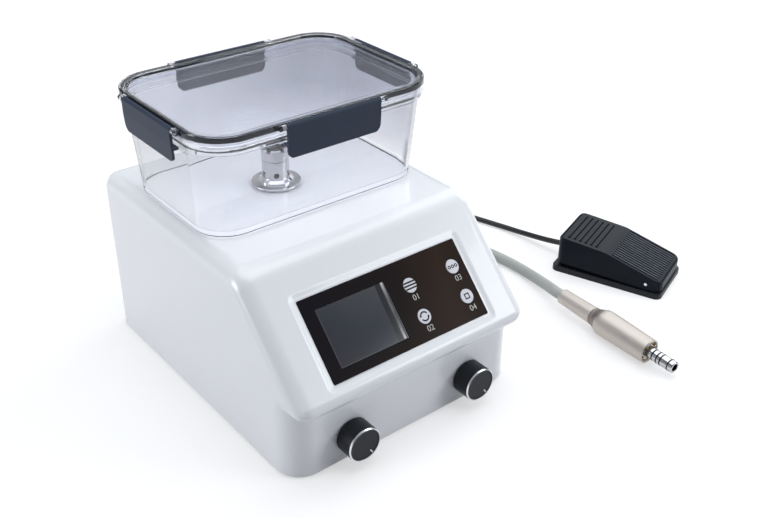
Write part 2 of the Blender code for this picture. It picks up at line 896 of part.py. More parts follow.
def build_housing():
    shell = piece("housing_shell", loft("housing_shell", shell_rings(0, 0)), white_plastic, unit)
    cut(shell, helper("housing_inside", loft("housing_inside", shell_rings(housing_wall, overrun)), unit))
    pocket = box_between(
        (-panel_width / 2 - fit_gap, -panel_height / 2 - fit_gap, pocket_floor),
        (panel_width / 2 + fit_gap, panel_height / 2 + fit_gap, overrun),
    )
    cut(shell, helper("panel_pocket", boxes("panel_pocket", pocket), panel_frame))
    window = box_between(
        (window_x - window_width / 2, window_y - window_height / 2, -housing_wall - overrun),
        (window_x + window_width / 2, window_y + window_height / 2, overrun),
    )
    cut(shell, helper("display_hole", boxes("display_hole", window), panel_frame))
    stems = [(x, y, -housing_wall) for x, y in key_places.values()]
    stem_cutter = rods("key_stem_holes", key_stem_radius + fit_gap, housing_wall, stems, sides=hole_sides)
    cut(shell, helper("key_stem_holes", stem_cutter, panel_frame))
    boss_x = board_width / 2 - boss_in
    boss_y = board_height / 2 - boss_in
    boss_top = (pocket_floor - housing_wall) / 2
    boss_bottom = board_top + fit_gap
    boss_z = (boss_top + boss_bottom) / 2
    bosses = [(x, y, boss_z) for x in (-boss_x, boss_x) for y in (-boss_y, boss_y)]
    boss_mesh = rods("board_bosses", boss_radius, boss_top - boss_bottom, bosses, sides=hole_sides)
    join(shell, helper("board_bosses", boss_mesh, panel_frame))
    pots = [(x, front_y, knob_z) for x in (-knob_x, knob_x)]
    pot_holes = rods("pot_holes", pot_bushing_radius + fit_gap, 4 * housing_wall, pots, "Y")
    cut(shell, helper("pot_holes", pot_holes, unit))
    hole_radius = column_shank_radius + fit_gap
    column_hole = rods("roof_hole", hole_radius, 4 * housing_wall, [(0, 0, housing_top)])
    cut(shell, helper("roof_hole", column_hole, column_frame))
    hose_hole = rods("hose_hole", hose_gland_neck + fit_gap, 4 * housing_wall, [(0, 0, 0)])
    cut(shell, helper("hose_hole", hose_hole, hose_gland_frame))
    cable_hole = rods("cable_hole", cable_gland_neck + fit_gap, 4 * housing_wall, [(0, 0, 0)])
    cut(shell, helper("cable_hole", cable_hole, cable_gland_frame))
    inlet_hole = [size + 2 * fit_gap for size in inlet_body] + [4 * housing_wall]
    cut(shell, helper("inlet_hole", boxes("inlet_hole", (inlet_hole, (0, 0, 0))), inlet_frame))


def build_base():
    half = (half_width - housing_wall - fit_gap, housing_depth / 2 - housing_wall - fit_gap)
    outline = rounded_rectangle(half, side_round - housing_wall)
    data = slab("base_plate", outline, base_plate_thickness)
    plate = piece("base_plate", data, zinc, unit, (0, 0, base_plate_bottom + base_plate_thickness / 2))
    places = {
        "foot_front_left": (-foot_x, -foot_y),
        "foot_front_right": (foot_x, -foot_y),
        "foot_rear_left": (-foot_x, foot_y),
        "foot_rear_right": (foot_x, foot_y),
    }
    middles = [(x, y, base_plate_bottom) for x, y in places.values()]
    hole_radius = foot_stem_radius + fit_gap
    holes = rods("foot_holes", hole_radius, 4 * base_plate_thickness, middles, sides=foot_sides)
    cut(plate, helper("foot_holes", holes, unit))
    pad_top = base_plate_bottom - fit_gap
    head_top = floor_of_inside + foot_head_height
    for name, (x, y) in places.items():
        outline = [
            (0, head_top),
            (foot_head_radius, head_top),
            (foot_head_radius, floor_of_inside),
            (foot_stem_radius, floor_of_inside),
            (foot_stem_radius, pad_top),
            (foot_radius, pad_top),
            (foot_radius, foot_round),
            (foot_radius - foot_round, 0),
            (0, 0),
        ]
        turned(name, outline, black_rubber, unit, (x, y, 0), sides=foot_sides)


def build_panel():
    outline = rounded_rectangle((panel_width / 2, panel_height / 2), panel_corner)
    data = slab("display_panel", outline, panel_thickness)
    middle = (0, 0, -panel_sink - panel_thickness / 2)
    panel = piece("display_panel", data, panel_glass, panel_frame, middle)
    window = ((window_width, window_height, 4 * panel_thickness), (window_x, window_y, -panel_sink))
    cut(panel, helper("panel_window", boxes("panel_window", window), panel_frame))
    keys = [(x, y, -panel_sink) for x, y in key_places.values()]
    key_holes = rods("key_holes", key_radius + fit_gap, 4 * panel_thickness, keys, sides=key_sides)
    cut(panel, helper("key_holes", key_holes, panel_frame))

    front = -panel_sink - display_sink
    glass_half = (window_width / 2 - fit_gap, window_height / 2 - fit_gap)
    glass = box_between(
        (window_x - glass_half[0], window_y - glass_half[1], board_top - board_thickness / 2),
        (window_x + glass_half[0], window_y + glass_half[1], front),
    )
    board = box_between(
        (-board_width / 2, -board_height / 2, board_top - board_thickness),
        (board_width / 2, board_height / 2, board_top),
    )
    module = piece("display_module", boxes("display_module", board), display_glass, panel_frame)
    join(module, helper("display_block", boxes("display_block", glass), panel_frame))

    disc_top = -panel_sink + key_proud
    disc_bottom = pocket_floor + key_travel + fit_gap
    foot_top = -housing_wall - fit_gap
    foot_bottom = foot_top - key_foot_thickness
    outline = [
        (0, disc_top),
        (key_radius, disc_top),
        (key_radius, disc_bottom),
        (key_stem_radius, disc_bottom),
        (key_stem_radius, foot_top),
        (key_foot_radius, foot_top),
        (key_foot_radius, foot_bottom),
        (0, foot_bottom),
    ]
    for name, (x, y) in key_places.items():
        turned(name, outline, key_plastic, panel_frame, (x, y, 0), sides=key_sides)


def build_knobs():
    back = knob_standoff
    face = back + knob_length
    seat = face - ring_seat_depth
    bore_end = back + shaft_in_knob + fit_gap
    knob_outline = [
        (0, face),
        (ring_seat_radius, face),
        (ring_seat_radius, seat),
        (knob_radius, seat),
        (knob_radius, back + knob_back_chamfer),
        (knob_radius - knob_back_chamfer, back),
        (shaft_radius + fit_gap, back),
        (shaft_radius + fit_gap, bore_end),
        (0, bore_end),
    ]
    ring_front = face + ring_proud
    ring_outline = [
        (ring_back_radius - ring_chamfer, ring_front),
        (ring_back_radius, ring_front - ring_chamfer),
        (ring_back_radius, seat + fit_gap),
        (ring_seat_radius + fit_gap, seat + fit_gap),
        (ring_seat_radius + fit_gap, ring_front),
    ]
    pot_front = -housing_wall - fit_gap
    pot_back = pot_front - pot_depth
    bore_floor = pot_back + pot_bore_left
    pot_outline = [
        (0, bore_floor),
        (shaft_radius + fit_gap, bore_floor),
        (shaft_radius + fit_gap, pot_bushing_proud),
        (pot_bushing_radius, pot_bushing_proud),
        (pot_bushing_radius, pot_front),
        (pot_radius, pot_front),
        (pot_radius, pot_back),
        (0, pot_back),
    ]
    shaft_back = bore_floor + fit_gap
    shaft_front = back + shaft_in_knob
    shaft_outline = [
        (0, shaft_front),
        (shaft_radius, shaft_front),
        (shaft_radius, shaft_back),
        (0, shaft_back),
    ]
    for side, axis in knob_frames.items():
        turned(f"knob_{side}", knob_outline, knob_plastic, axis)
        turned(f"knob_ring_{side}", ring_outline, polished_metal, axis, ring=True)
        turned(f"potentiometer_{side}", pot_outline, zinc, axis, sides=small_round_sides)
        turned(f"pot_shaft_{side}", shaft_outline, steel, axis, sides=small_round_sides)


def on_floor(size, x, y, z=floor_of_inside):
    """Size and middle of a box that stands on a level."""
    return size, (x, y, z + size[2] / 2)


def build_pump(name, place, radius, length, head, material):
    """A pump lying along Y: its motor behind, its head in front with two ports."""
    x, y = place
    axis_z = floor_of_inside + head[2] / 2
    made = piece(name, boxes(name, on_floor(head, x, y)), material, unit)
    motor_y = y + (head[1] + length) / 2 - overrun
    motor = rods(f"{name}_motor", radius, length, [(x, motor_y, axis_z)], "Y")
    join(made, helper(f"{name}_motor", motor, unit))
    port_y = y - head[1] / 2 - pump_port_length / 2 + overrun
    ports = [(x + side * head[0] / 4, port_y, axis_z) for side in (-1, 1)]
    port_mesh = rods(f"{name}_ports", pump_port_radius, pump_port_length, ports, "Y", hole_sides)
    join(made, helper(f"{name}_ports", port_mesh, unit))


def build_inside():
    x = logic_board_from_side - half_width
    y = front_y + logic_board_from_front
    length, width, thickness = logic_board
    board_z = floor_of_inside + logic_board_lift
    board_box = on_floor(logic_board, x, y, board_z)
    board = piece("main_board", boxes("main_board", board_box), green_board, unit)
    reach_x = length / 2 - standoff_in
    reach_y = width / 2 - standoff_in
    post_length = logic_board_lift + thickness / 2
    post_z = floor_of_inside + post_length / 2
    posts = [(x + i * reach_x, y + j * reach_y, post_z) for i in (-1, 1) for j in (-1, 1)]
    post_mesh = rods("board_posts", standoff_radius, post_length, posts, sides=hole_sides)
    join(board, helper("board_posts", post_mesh, unit))
    seat = board_z + thickness / 2
    fittings = boxes(
        "board_fittings",
        *[
            on_floor(size, x + length * along_share, y + width * back_share, seat)
            for size, (along_share, back_share) in (
                (chip_size, chip_place_shares),
                (heat_sink_size, heat_sink_place_shares),
                (plug_size, plug_place_shares),
            )
        ],
    )
    join(board, helper("board_fittings", fittings, unit))

    board_back = y + width / 2
    supply_length = back_y - supply_from_back - board_back - supply_from_board
    supply_width, supply_height = supply_frame
    x = supply_from_side - half_width
    y = back_y - supply_from_back - supply_length / 2
    block = on_floor((supply_width, supply_length, supply_height), x, y)
    supply = piece("power_supply", boxes("power_supply", block), zinc, unit)
    bevel(supply, least_round * 2, 1)
    roof = floor_of_inside + supply_height - overrun
    join(supply, helper("supply_choke", boxes("supply_choke", on_floor(supply_choke, x, y, roof)), unit))
    can_y = y - supply_length * supply_can_back_share
    can_z = roof + supply_can_height / 2
    cans = [(x + side * supply_can_apart / 2, can_y, can_z) for side in (-1, 1)]
    can_mesh = rods("supply_cans", supply_can_radius, supply_can_height, cans)
    join(supply, helper("supply_cans", can_mesh, unit))

    water_y = front_y + water_pump_from_front + water_pump_head[1] / 2
    water_place = (half_width - water_pump_from_side, water_y)
    build_pump("water_pump", water_place, water_pump_radius, water_pump_length, water_pump_head, steel)
    water_back = water_y + water_pump_head[1] / 2 + water_pump_length - overrun
    air_front = water_back + air_pump_from_water_pump + pump_port_length - overrun
    air_head_back = air_front + air_pump_head[1]
    air_length = back_y - air_pump_from_back - air_head_back + overrun
    air_place = (half_width - air_pump_from_side, air_front + air_pump_head[1] / 2)
    build_pump("air_pump", air_place, air_pump_radius, air_length, air_pump_head, black_plastic)


def build_inlet():
    width, height, thickness = inlet_flange
    flange_front = fit_gap + thickness
    flange_box = box_between((-width / 2, -height / 2, fit_gap), (width / 2, height / 2, flange_front))
    inlet = piece("mains_inlet", boxes("mains_inlet", flange_box), black_plastic, inlet_frame)
    bevel(inlet, inlet_edge, 2)
    front = fit_gap + thickness
    body_box = box_between(
        (-inlet_body[0] / 2, -inlet_body[1] / 2, -inlet_body_depth),
        (inlet_body[0] / 2, inlet_body[1] / 2, fit_gap + thickness / 2),
    )
    join(inlet, helper("inlet_body", boxes("inlet_body", body_box), inlet_frame))
    recess = box_between(
        (-socket_size[0] / 2, -socket_drop - socket_size[1] / 2, front - socket_depth),
        (socket_size[0] / 2, -socket_drop + socket_size[1] / 2, front + overrun),
    )
    cut(inlet, helper("socket_recess", boxes("socket_recess", recess), inlet_frame))
    wide, tall, long = socket_pin_size
    pins = [
        ((wide, tall, long + overrun), (x, y - socket_drop, front - socket_depth + (long - overrun) / 2))
        for x, y in socket_pins
    ]
    join(inlet, helper("socket_pins", boxes("socket_pins", *pins), inlet_frame))
    half_wide = rocker_width / 2 + fit_gap
    corner = (rocker_half_height**2 + rocker_front**2) ** 0.5
    half_tall = corner + fit_gap
    well = box_between(
        (-half_wide, rocker_lift - half_tall, front - rocker_well),
        (half_wide, rocker_lift + half_tall, front + overrun),
    )
    cut(inlet, helper("rocker_well", boxes("rocker_well", well), inlet_frame))
    outline = [
        (-rocker_back_half, -rocker_back),
        (rocker_back_half, -rocker_back),
        (rocker_half_height, rocker_front),
        (0, rocker_dip),
        (-rocker_half_height, rocker_front),
    ]
    rocker_place = (0, rocker_lift, rocker_clearance)
    rocker_axis = frame("rocker_axis", rocker_place, (rocker_tilt, 0, 0), inlet_frame)
    piece("power_rocker", slab("power_rocker", outline, rocker_width, "YZ"), black_plastic, rocker_axis)


def build_gland(name, carrier, boot, wall, root, flange, neck, lip, bore, core):
    """A strain relief: boot outside, lip inside, a bore for the cord and a core hole for its wires."""
    seat = fit_gap + gland_flange_thickness
    tip = seat + boot
    inside = -housing_wall - fit_gap
    floor_z = tip - gland_grip
    outline = [
        (bore + wall, tip),
        (root, seat),
        (flange, seat),
        (flange, fit_gap),
        (neck, fit_gap),
        (neck, inside),
        (lip, inside),
        (lip, inside - gland_lip_thickness),
        (core, inside - gland_lip_thickness),
        (core, floor_z),
        (bore, floor_z),
        (bore, tip),
    ]
    turned(name, outline, black_rubber, carrier, ring=True, sides=small_round_sides)
    return carrier.location + Vector((0, floor_z + fit_gap, 0)), carrier.location + Vector((0, tip, 0))


def shrunk(half, amount):
    return half[0] - amount, half[1] - amount


def ring_at(half, corner, z):
    return rounded_rectangle(half, corner, z, (0, tank_y))


def build_tank():
    rim_half = shrunk(lid_half, lid_skirt_wall + fit_gap)
    rim_corner = lid_corner - lid_skirt_wall - fit_gap
    rim_inner = shrunk(rim_half, tank_rim_wall)
    wall_inner = shrunk(tank_top, tank_wall)
    foot_inner = shrunk(tank_foot, tank_wall)
    foot_mid = tank_foot_round * (1 - sin(pi / 4))
    inner_corner = tank_foot_corner - tank_wall
    shelf = tank_lip_top - tank_wall / 4
    rings = [
        ring_at(shrunk(tank_foot, tank_foot_round), tank_foot_corner - tank_foot_round, tank_bottom),
        ring_at(shrunk(tank_foot, foot_mid), tank_foot_corner, tank_bottom + foot_mid),
        ring_at(tank_foot, tank_foot_corner, tank_bottom + tank_foot_round),
        ring_at(tank_top, tank_top_corner, tank_lip_z),
        ring_at(tank_lip, tank_lip_corner, tank_lip_z),
        ring_at(tank_lip, tank_lip_corner, tank_lip_top),
        ring_at(rim_half, rim_corner, tank_lip_top),
        ring_at(rim_half, rim_corner, tank_rim_top),
        ring_at(rim_inner, rim_corner - tank_rim_wall, tank_rim_top),
        ring_at(rim_inner, rim_corner - tank_rim_wall, shelf),
        ring_at(wall_inner, tank_top_corner - tank_wall, shelf),
        ring_at(foot_inner, inner_corner, tank_floor_top + tank_foot_round),
        ring_at(shrunk(foot_inner, foot_mid), inner_corner, tank_floor_top + foot_mid),
        ring_at(shrunk(foot_inner, tank_foot_round), inner_corner - tank_foot_round, tank_floor_top),
    ]
    tank = piece("tank", loft("tank", rings), clear_plastic, unit)
    hole = rods("tank_hole", column_shank_radius + fit_gap, 4 * tank_floor, [(0, 0, tank_bottom)])
    cut(tank, helper("tank_hole", hole, column_frame))


def build_column():
    flange_bottom = tank_floor_top + fit_gap
    groove_top = flange_bottom + fit_gap + seal_thickness
    outer = column_bore + column_spigot_wall
    outline = [
        (outer, column_seam + column_spigot_length),
        (outer, column_seam - fit_gap),
        (column_radius, column_seam - fit_gap),
        (column_radius, column_neck_top),
        (column_step_radius, column_step_top),
        (column_step_radius, column_flange_top),
        (column_flange_radius, column_flange_top),
        (column_flange_radius, flange_bottom),
        (seal_outer + fit_gap, flange_bottom),
        (seal_outer + fit_gap, groove_top),
        (seal_inner - fit_gap, groove_top),
        (seal_inner - fit_gap, flange_bottom),
        (column_shank_radius, flange_bottom),
        (column_shank_radius, column_shank_bottom),
        (column_barb_neck, column_shank_bottom),
        (column_barb_neck, (column_shank_bottom + column_barb_bottom) / 2),
        (column_barb_radius, (column_shank_bottom + column_barb_bottom) / 2),
        (column_barb_neck, column_barb_bottom),
        (column_drain_radius, column_barb_bottom),
        (column_drain_radius, column_bore_floor),
        (column_bore, column_bore_floor),
        (column_bore, column_seam + column_spigot_length),
    ]
    column = turned("outlet_column", outline, polished_metal, column_frame, ring=True)
    length = 2 * column_radius + overrun
    for i in range(column_holes // 2):
        angle = pi * i / (column_holes // 2)
        drill_name = f"column_hole_{i}"
        drill = rods(drill_name, column_hole_radius, length, [(0, 0, column_hole_z)], "X", hole_sides)
        cut(column, helper(drill_name, drill, column_frame, turn=(0, 0, angle)))
    cap_floor = column_seam + column_spigot_length + fit_gap
    cap_outline = [
        (column_radius, column_top),
        (column_radius, column_seam),
        (outer + fit_gap, column_seam),
        (outer + fit_gap, cap_floor),
        (column_bore, cap_floor),
        (column_bore, column_top),
    ]
    cap = turned("column_cap", cap_outline, polished_metal, column_frame, ring=True)
    for i in range(cap_slots):
        angle = pi * (i + 0.5) / cap_slots
        size = (length, cap_slot_width, cap_slot_depth * 2)
        slot = boxes(f"cap_slot_{i}", (size, (0, 0, column_top)))
        cut(cap, helper(f"cap_slot_{i}", slot, column_frame, turn=(0, 0, angle)))
    seal_bottom = flange_bottom
    seal_outline = [
        (seal_outer, seal_bottom + seal_thickness),
        (seal_outer, seal_bottom),
        (seal_inner, seal_bottom),
        (seal_inner, seal_bottom + seal_thickness),
    ]
    turned("column_seal", seal_outline, black_rubber, column_frame, ring=True, sides=small_round_sides)
    nut_z = roof_inside - fit_gap - nut_height / 2
    nut_mesh = rods("column_nut", nut_radius, nut_height, [(0, 0, nut_z)], sides=nut_sides)
    nut = piece("column_nut", nut_mesh, brass, column_frame)
    nut_bore = rods("nut_bore", column_shank_radius + fit_gap, 4 * nut_height, [(0, 0, nut_z)])
    cut(nut, helper("nut_bore", nut_bore, column_frame))


def latch_frames():
    """Where each latch hinges on the lid, which way it faces and half its length."""
    out_y = lid_half[1] + latch_out
    out_x = lid_half[0] + latch_out
    return {
        "front": ((0, tank_y - out_y, hinge_z), pi, latch_half_long),
        "back": ((0, tank_y + out_y, hinge_z), 0, latch_half_long),
        "left": ((-out_x, tank_y, hinge_z), pi / 2, latch_half_short),
        "right": ((out_x, tank_y, hinge_z), -pi / 2, latch_half_short),
    }


def build_lid():
    outer_low = lid_top - lid_edge_round
    ring_inner = shrunk(lid_half, lid_ring_width)
    ring_corner = lid_corner - lid_ring_width
    skirt_inner = shrunk(lid_half, lid_skirt_wall)
    channel_inner = shrunk(ring_inner, -lid_inner_wall)
    panel_top = lid_top - lid_recess
    panel_under = panel_top - lid_panel
    channel_top = lid_top - lid_roof
    rings = [
        ring_at(shrunk(ring_inner, lid_edge_round), ring_corner - lid_edge_round, panel_top),
        ring_at(ring_inner, ring_corner, panel_top + lid_edge_round),
        ring_at(ring_inner, ring_corner, outer_low),
        ring_at(shrunk(ring_inner, -lid_edge_round), ring_corner + lid_edge_round, lid_top),
        ring_at(shrunk(lid_half, lid_edge_round), lid_corner - lid_edge_round, lid_top),
        ring_at(lid_half, lid_corner, outer_low),
        ring_at(lid_half, lid_corner, lid_skirt_bottom),
        ring_at(skirt_inner, lid_corner - lid_skirt_wall, lid_skirt_bottom),
        ring_at(skirt_inner, lid_corner - lid_skirt_wall, channel_top),
        ring_at(channel_inner, ring_corner + lid_inner_wall, channel_top),
        ring_at(channel_inner, ring_corner + lid_inner_wall, lid_plug_bottom),
        ring_at(ring_inner, ring_corner, lid_plug_bottom),
        ring_at(ring_inner, ring_corner, panel_under),
    ]
    lid = piece("lid", loft("lid", rings), clear_plastic, unit)

    gasket_top = channel_top - fit_gap
    gasket_bottom = tank_rim_top + fit_gap
    outer = shrunk(skirt_inner, gasket_side_gap)
    inner = shrunk(channel_inner, -gasket_side_gap)
    outer_corner = lid_corner - lid_skirt_wall - gasket_side_gap
    inner_corner = ring_corner + lid_inner_wall + gasket_side_gap
    plate = slab("lid_gasket", rounded_rectangle(outer, outer_corner), gasket_top - gasket_bottom)
    gasket = piece("lid_gasket", plate, black_rubber, unit, (0, tank_y, (gasket_top + gasket_bottom) / 2))
    hole = slab("gasket_hole", rounded_rectangle(inner, inner_corner), 2 * (gasket_top - gasket_bottom))
    cut(gasket, helper("gasket_hole", hole, unit, (0, tank_y, (gasket_top + gasket_bottom) / 2)))

    for side, (place, turn, half) in latch_frames().items():
        axis = frame(f"latch_{side}_axis", place, (0, 0, turn), unit)
        build_knuckles(lid, side, axis, half)
        build_latch(side, axis, half)


def build_knuckles(lid, side, axis, half):
    """Two knuckles on the lid with a bore each for a latch's pins."""
    middle = half + fit_gap + knuckle_length / 2
    places = [(-middle, 0, 0), (middle, 0, 0)]
    round_mesh = rods(f"knuckles_{side}", latch_barrel_radius, knuckle_length, places, "X", hole_sides)
    join(lid, helper(f"knuckles_{side}", round_mesh, axis))
    low = latch_barrel_radius * knuckle_web_share
    webs = [
        box_between(
            (x - knuckle_length / 2 + least_round / 2, -latch_out - knuckle_root, -low),
            (x + knuckle_length / 2 - least_round / 2, 0, low),
        )
        for x, _, _ in places
    ]
    join(lid, helper(f"knuckle_webs_{side}", boxes(f"knuckle_webs_{side}", *webs), axis))
    bore_length = 2 * (latch_pin_length + 2 * fit_gap)
    bores = [(-half, 0, 0), (half, 0, 0)]
    bore_radius = latch_pin_radius + fit_gap
    bore_mesh = rods(f"knuckle_bores_{side}", bore_radius, bore_length, bores, "X", hole_sides)
    cut(lid, helper(f"knuckle_bores_{side}", bore_mesh, axis))


def build_latch(side, axis, half):
    """A latch seen along its hinge: barrel on top, plate down its outside, a rib by the tank's lip."""
    bottom = latch_bottom - hinge_z
    rib_top = latch_rib_top - hinge_z
    rib_bottom = latch_rib_bottom - hinge_z
    plate_in = latch_barrel_radius - latch_thickness
    rib_in = -latch_out - tank_lip_inset + latch_lip_gap
    outer = latch_barrel_radius
    turn_in = -asin(plate_in / latch_barrel_radius)
    sweep = pi * 3 / 2 + turn_in
    angles = [sweep * step / latch_arc_steps for step in range(latch_arc_steps + 1)]
    arc = [(latch_barrel_radius * cos(angle), latch_barrel_radius * sin(angle)) for angle in angles]
    arc[-1] = (plate_in, arc[-1][1])
    outline = arc + [
        (plate_in, rib_top),
        (rib_in, rib_top),
        (rib_in, rib_bottom),
        (plate_in, rib_bottom),
        (plate_in, bottom - latch_bead),
        (outer - latch_bead, bottom - latch_bead),
        (outer, bottom),
    ]
    latch = piece(f"latch_{side}", slab(f"latch_{side}", outline, 2 * half, "YZ"), latch_plastic, axis)
    low = bottom - latch_bead
    corners = [(half, outer + overrun), (-half, outer + overrun), (-half, low), (half, low)]
    face = filleted(corners, [0, 0, latch_corner, latch_corner], [0, 0, 3, 3])
    face_depth = 4 * (latch_barrel_radius - rib_in)
    face_mesh = slab(f"latch_face_{side}", face, face_depth, "XZ")
    combine(latch, helper(f"latch_face_{side}", face_mesh, axis), "INTERSECT")
    pin_length = 2 * (half + latch_pin_length)
    pin = rods(f"latch_pin_{side}", latch_pin_radius, pin_length, [(0, 0, 0)], "X", hole_sides)
    join(latch, helper(f"latch_pin_{side}", pin, axis))


def build_motor():
    slope = asin((body_rear_radius - body_front_radius) / (body_front - body_rear))
    tail_z = motor_lift + body_rear_radius / cos(slope) + body_rear * sin(slope)
    axis = frame(
        "motor_axis",
        (*motor_tail, tail_z),
        (pi / 2 + slope, 0, motor_heading + pi / 2),
        unit,
    )
    spigot_rear = sleeve_length - sleeve_socket + fit_gap
    socket_floor = sleeve_length - sleeve_socket
    sleeve_outline = [
        (sleeve_front_radius, sleeve_length),
        (sleeve_tail_radius, sleeve_tail_chamfer),
        (sleeve_tail_radius - sleeve_tail_chamfer, 0),
        (hose_bore, 0),
        (hose_bore, hose_in_sleeve),
        (wire_bore, hose_in_sleeve),
        (wire_bore, socket_floor),
        (spigot_radius + fit_gap, socket_floor),
        (spigot_radius + fit_gap, sleeve_length),
    ]
    turned("motor_sleeve", sleeve_outline, motor_metal, axis, ring=True)
    body_start = sleeve_length + fit_gap
    body_outline = [
        (body_front_radius - body_front_chamfer, body_front),
        (body_front_radius, body_front - body_front_chamfer),
        (body_rear_radius, body_rear),
        (shoulder_late_radius, shoulder_late),
        (shoulder_middle_radius, shoulder_middle),
        (shoulder_start_radius, shoulder_start),
        (sleeve_front_radius, body_start),
        (spigot_radius, body_start),
        (spigot_radius, spigot_rear),
        (wire_bore, spigot_rear),
        (wire_bore, body_bore_floor),
        (body_bore, body_bore_floor),
        (body_bore, body_front),
    ]
    turned("motor_body", body_outline, motor_metal, axis, ring=True)
    inner = body_bore - fit_gap
    stator_rear = body_bore_floor + fit_gap
    stator_outline = [
        (inner, stator_front),
        (inner, stator_rear),
        (stator_bore, stator_rear),
        (stator_bore, stator_front),
    ]
    turned("stator", stator_outline, copper, axis, ring=True, sides=small_round_sides)
    spindle_outline = [
        (0, spindle_tip),
        (spindle_radius, spindle_tip),
        (spindle_radius, rotor_front),
        (rotor_radius, rotor_front),
        (rotor_radius, rotor_rear),
        (spindle_radius, rotor_rear),
        (spindle_radius, stator_rear),
        (0, stator_rear),
    ]
    turned("rotor_spindle", spindle_outline, steel, axis, sides=small_round_sides)
    nose_rear = stator_front + fit_gap
    flange_front = nose_rear + nose_flange
    groove_floor = nose_radius + ring_proud_of_nose - 2 * ring_wire_radius - fit_gap
    groove_half = ring_wire_radius + ring_groove_gap
    nose_outline = [(nose_radius - nose_chamfer, nose_tip), (nose_radius, nose_tip - nose_chamfer)]
    for station in reversed(ring_stations):
        nose_outline += [
            (nose_radius, station + groove_half),
            (groove_floor, station + groove_half),
            (groove_floor, station - groove_half),
            (nose_radius, station - groove_half),
        ]
    nose_outline += [
        (nose_radius, flange_front),
        (inner, flange_front),
        (inner, nose_rear),
        (spindle_radius + fit_gap, nose_rear),
        (spindle_radius + fit_gap, nose_bearing_front),
        (nose_bore, nose_bearing_front),
        (nose_bore, nose_tip),
    ]
    turned("motor_nose", nose_outline, chrome, axis, ring=True, sides=nose_sides)
    contact_outline = [
        (inner, contact_front),
        (inner, flange_front + fit_gap),
        (nose_radius + fit_gap, flange_front + fit_gap),
        (nose_radius + fit_gap, contact_front),
    ]
    turned("contact_disc", contact_outline, brass, axis, ring=True, sides=nose_sides)
    for i, station in enumerate(ring_stations, start=1):
        bpy.ops.mesh.primitive_torus_add(
            major_segments=nose_sides,
            minor_segments=ring_wire_sides,
            major_radius=nose_radius + ring_proud_of_nose - ring_wire_radius,
            minor_radius=ring_wire_radius,
        )
        loose = bpy.context.object
        data = loose.data
        bpy.data.objects.remove(loose, do_unlink=True)
        piece(f"o_ring_{i}", data, black_rubber, axis, (0, 0, station))
    return axis


def edge_height(a):
    """Height of the pedal cover's lower edge: it clears the base when the cover is pressed."""
    lift = max(pedal_pin_a - a, 0) * tan(pedal_press + pedal_press_spare)
    return pedal_base_height + pedal_skirt_gap + lift


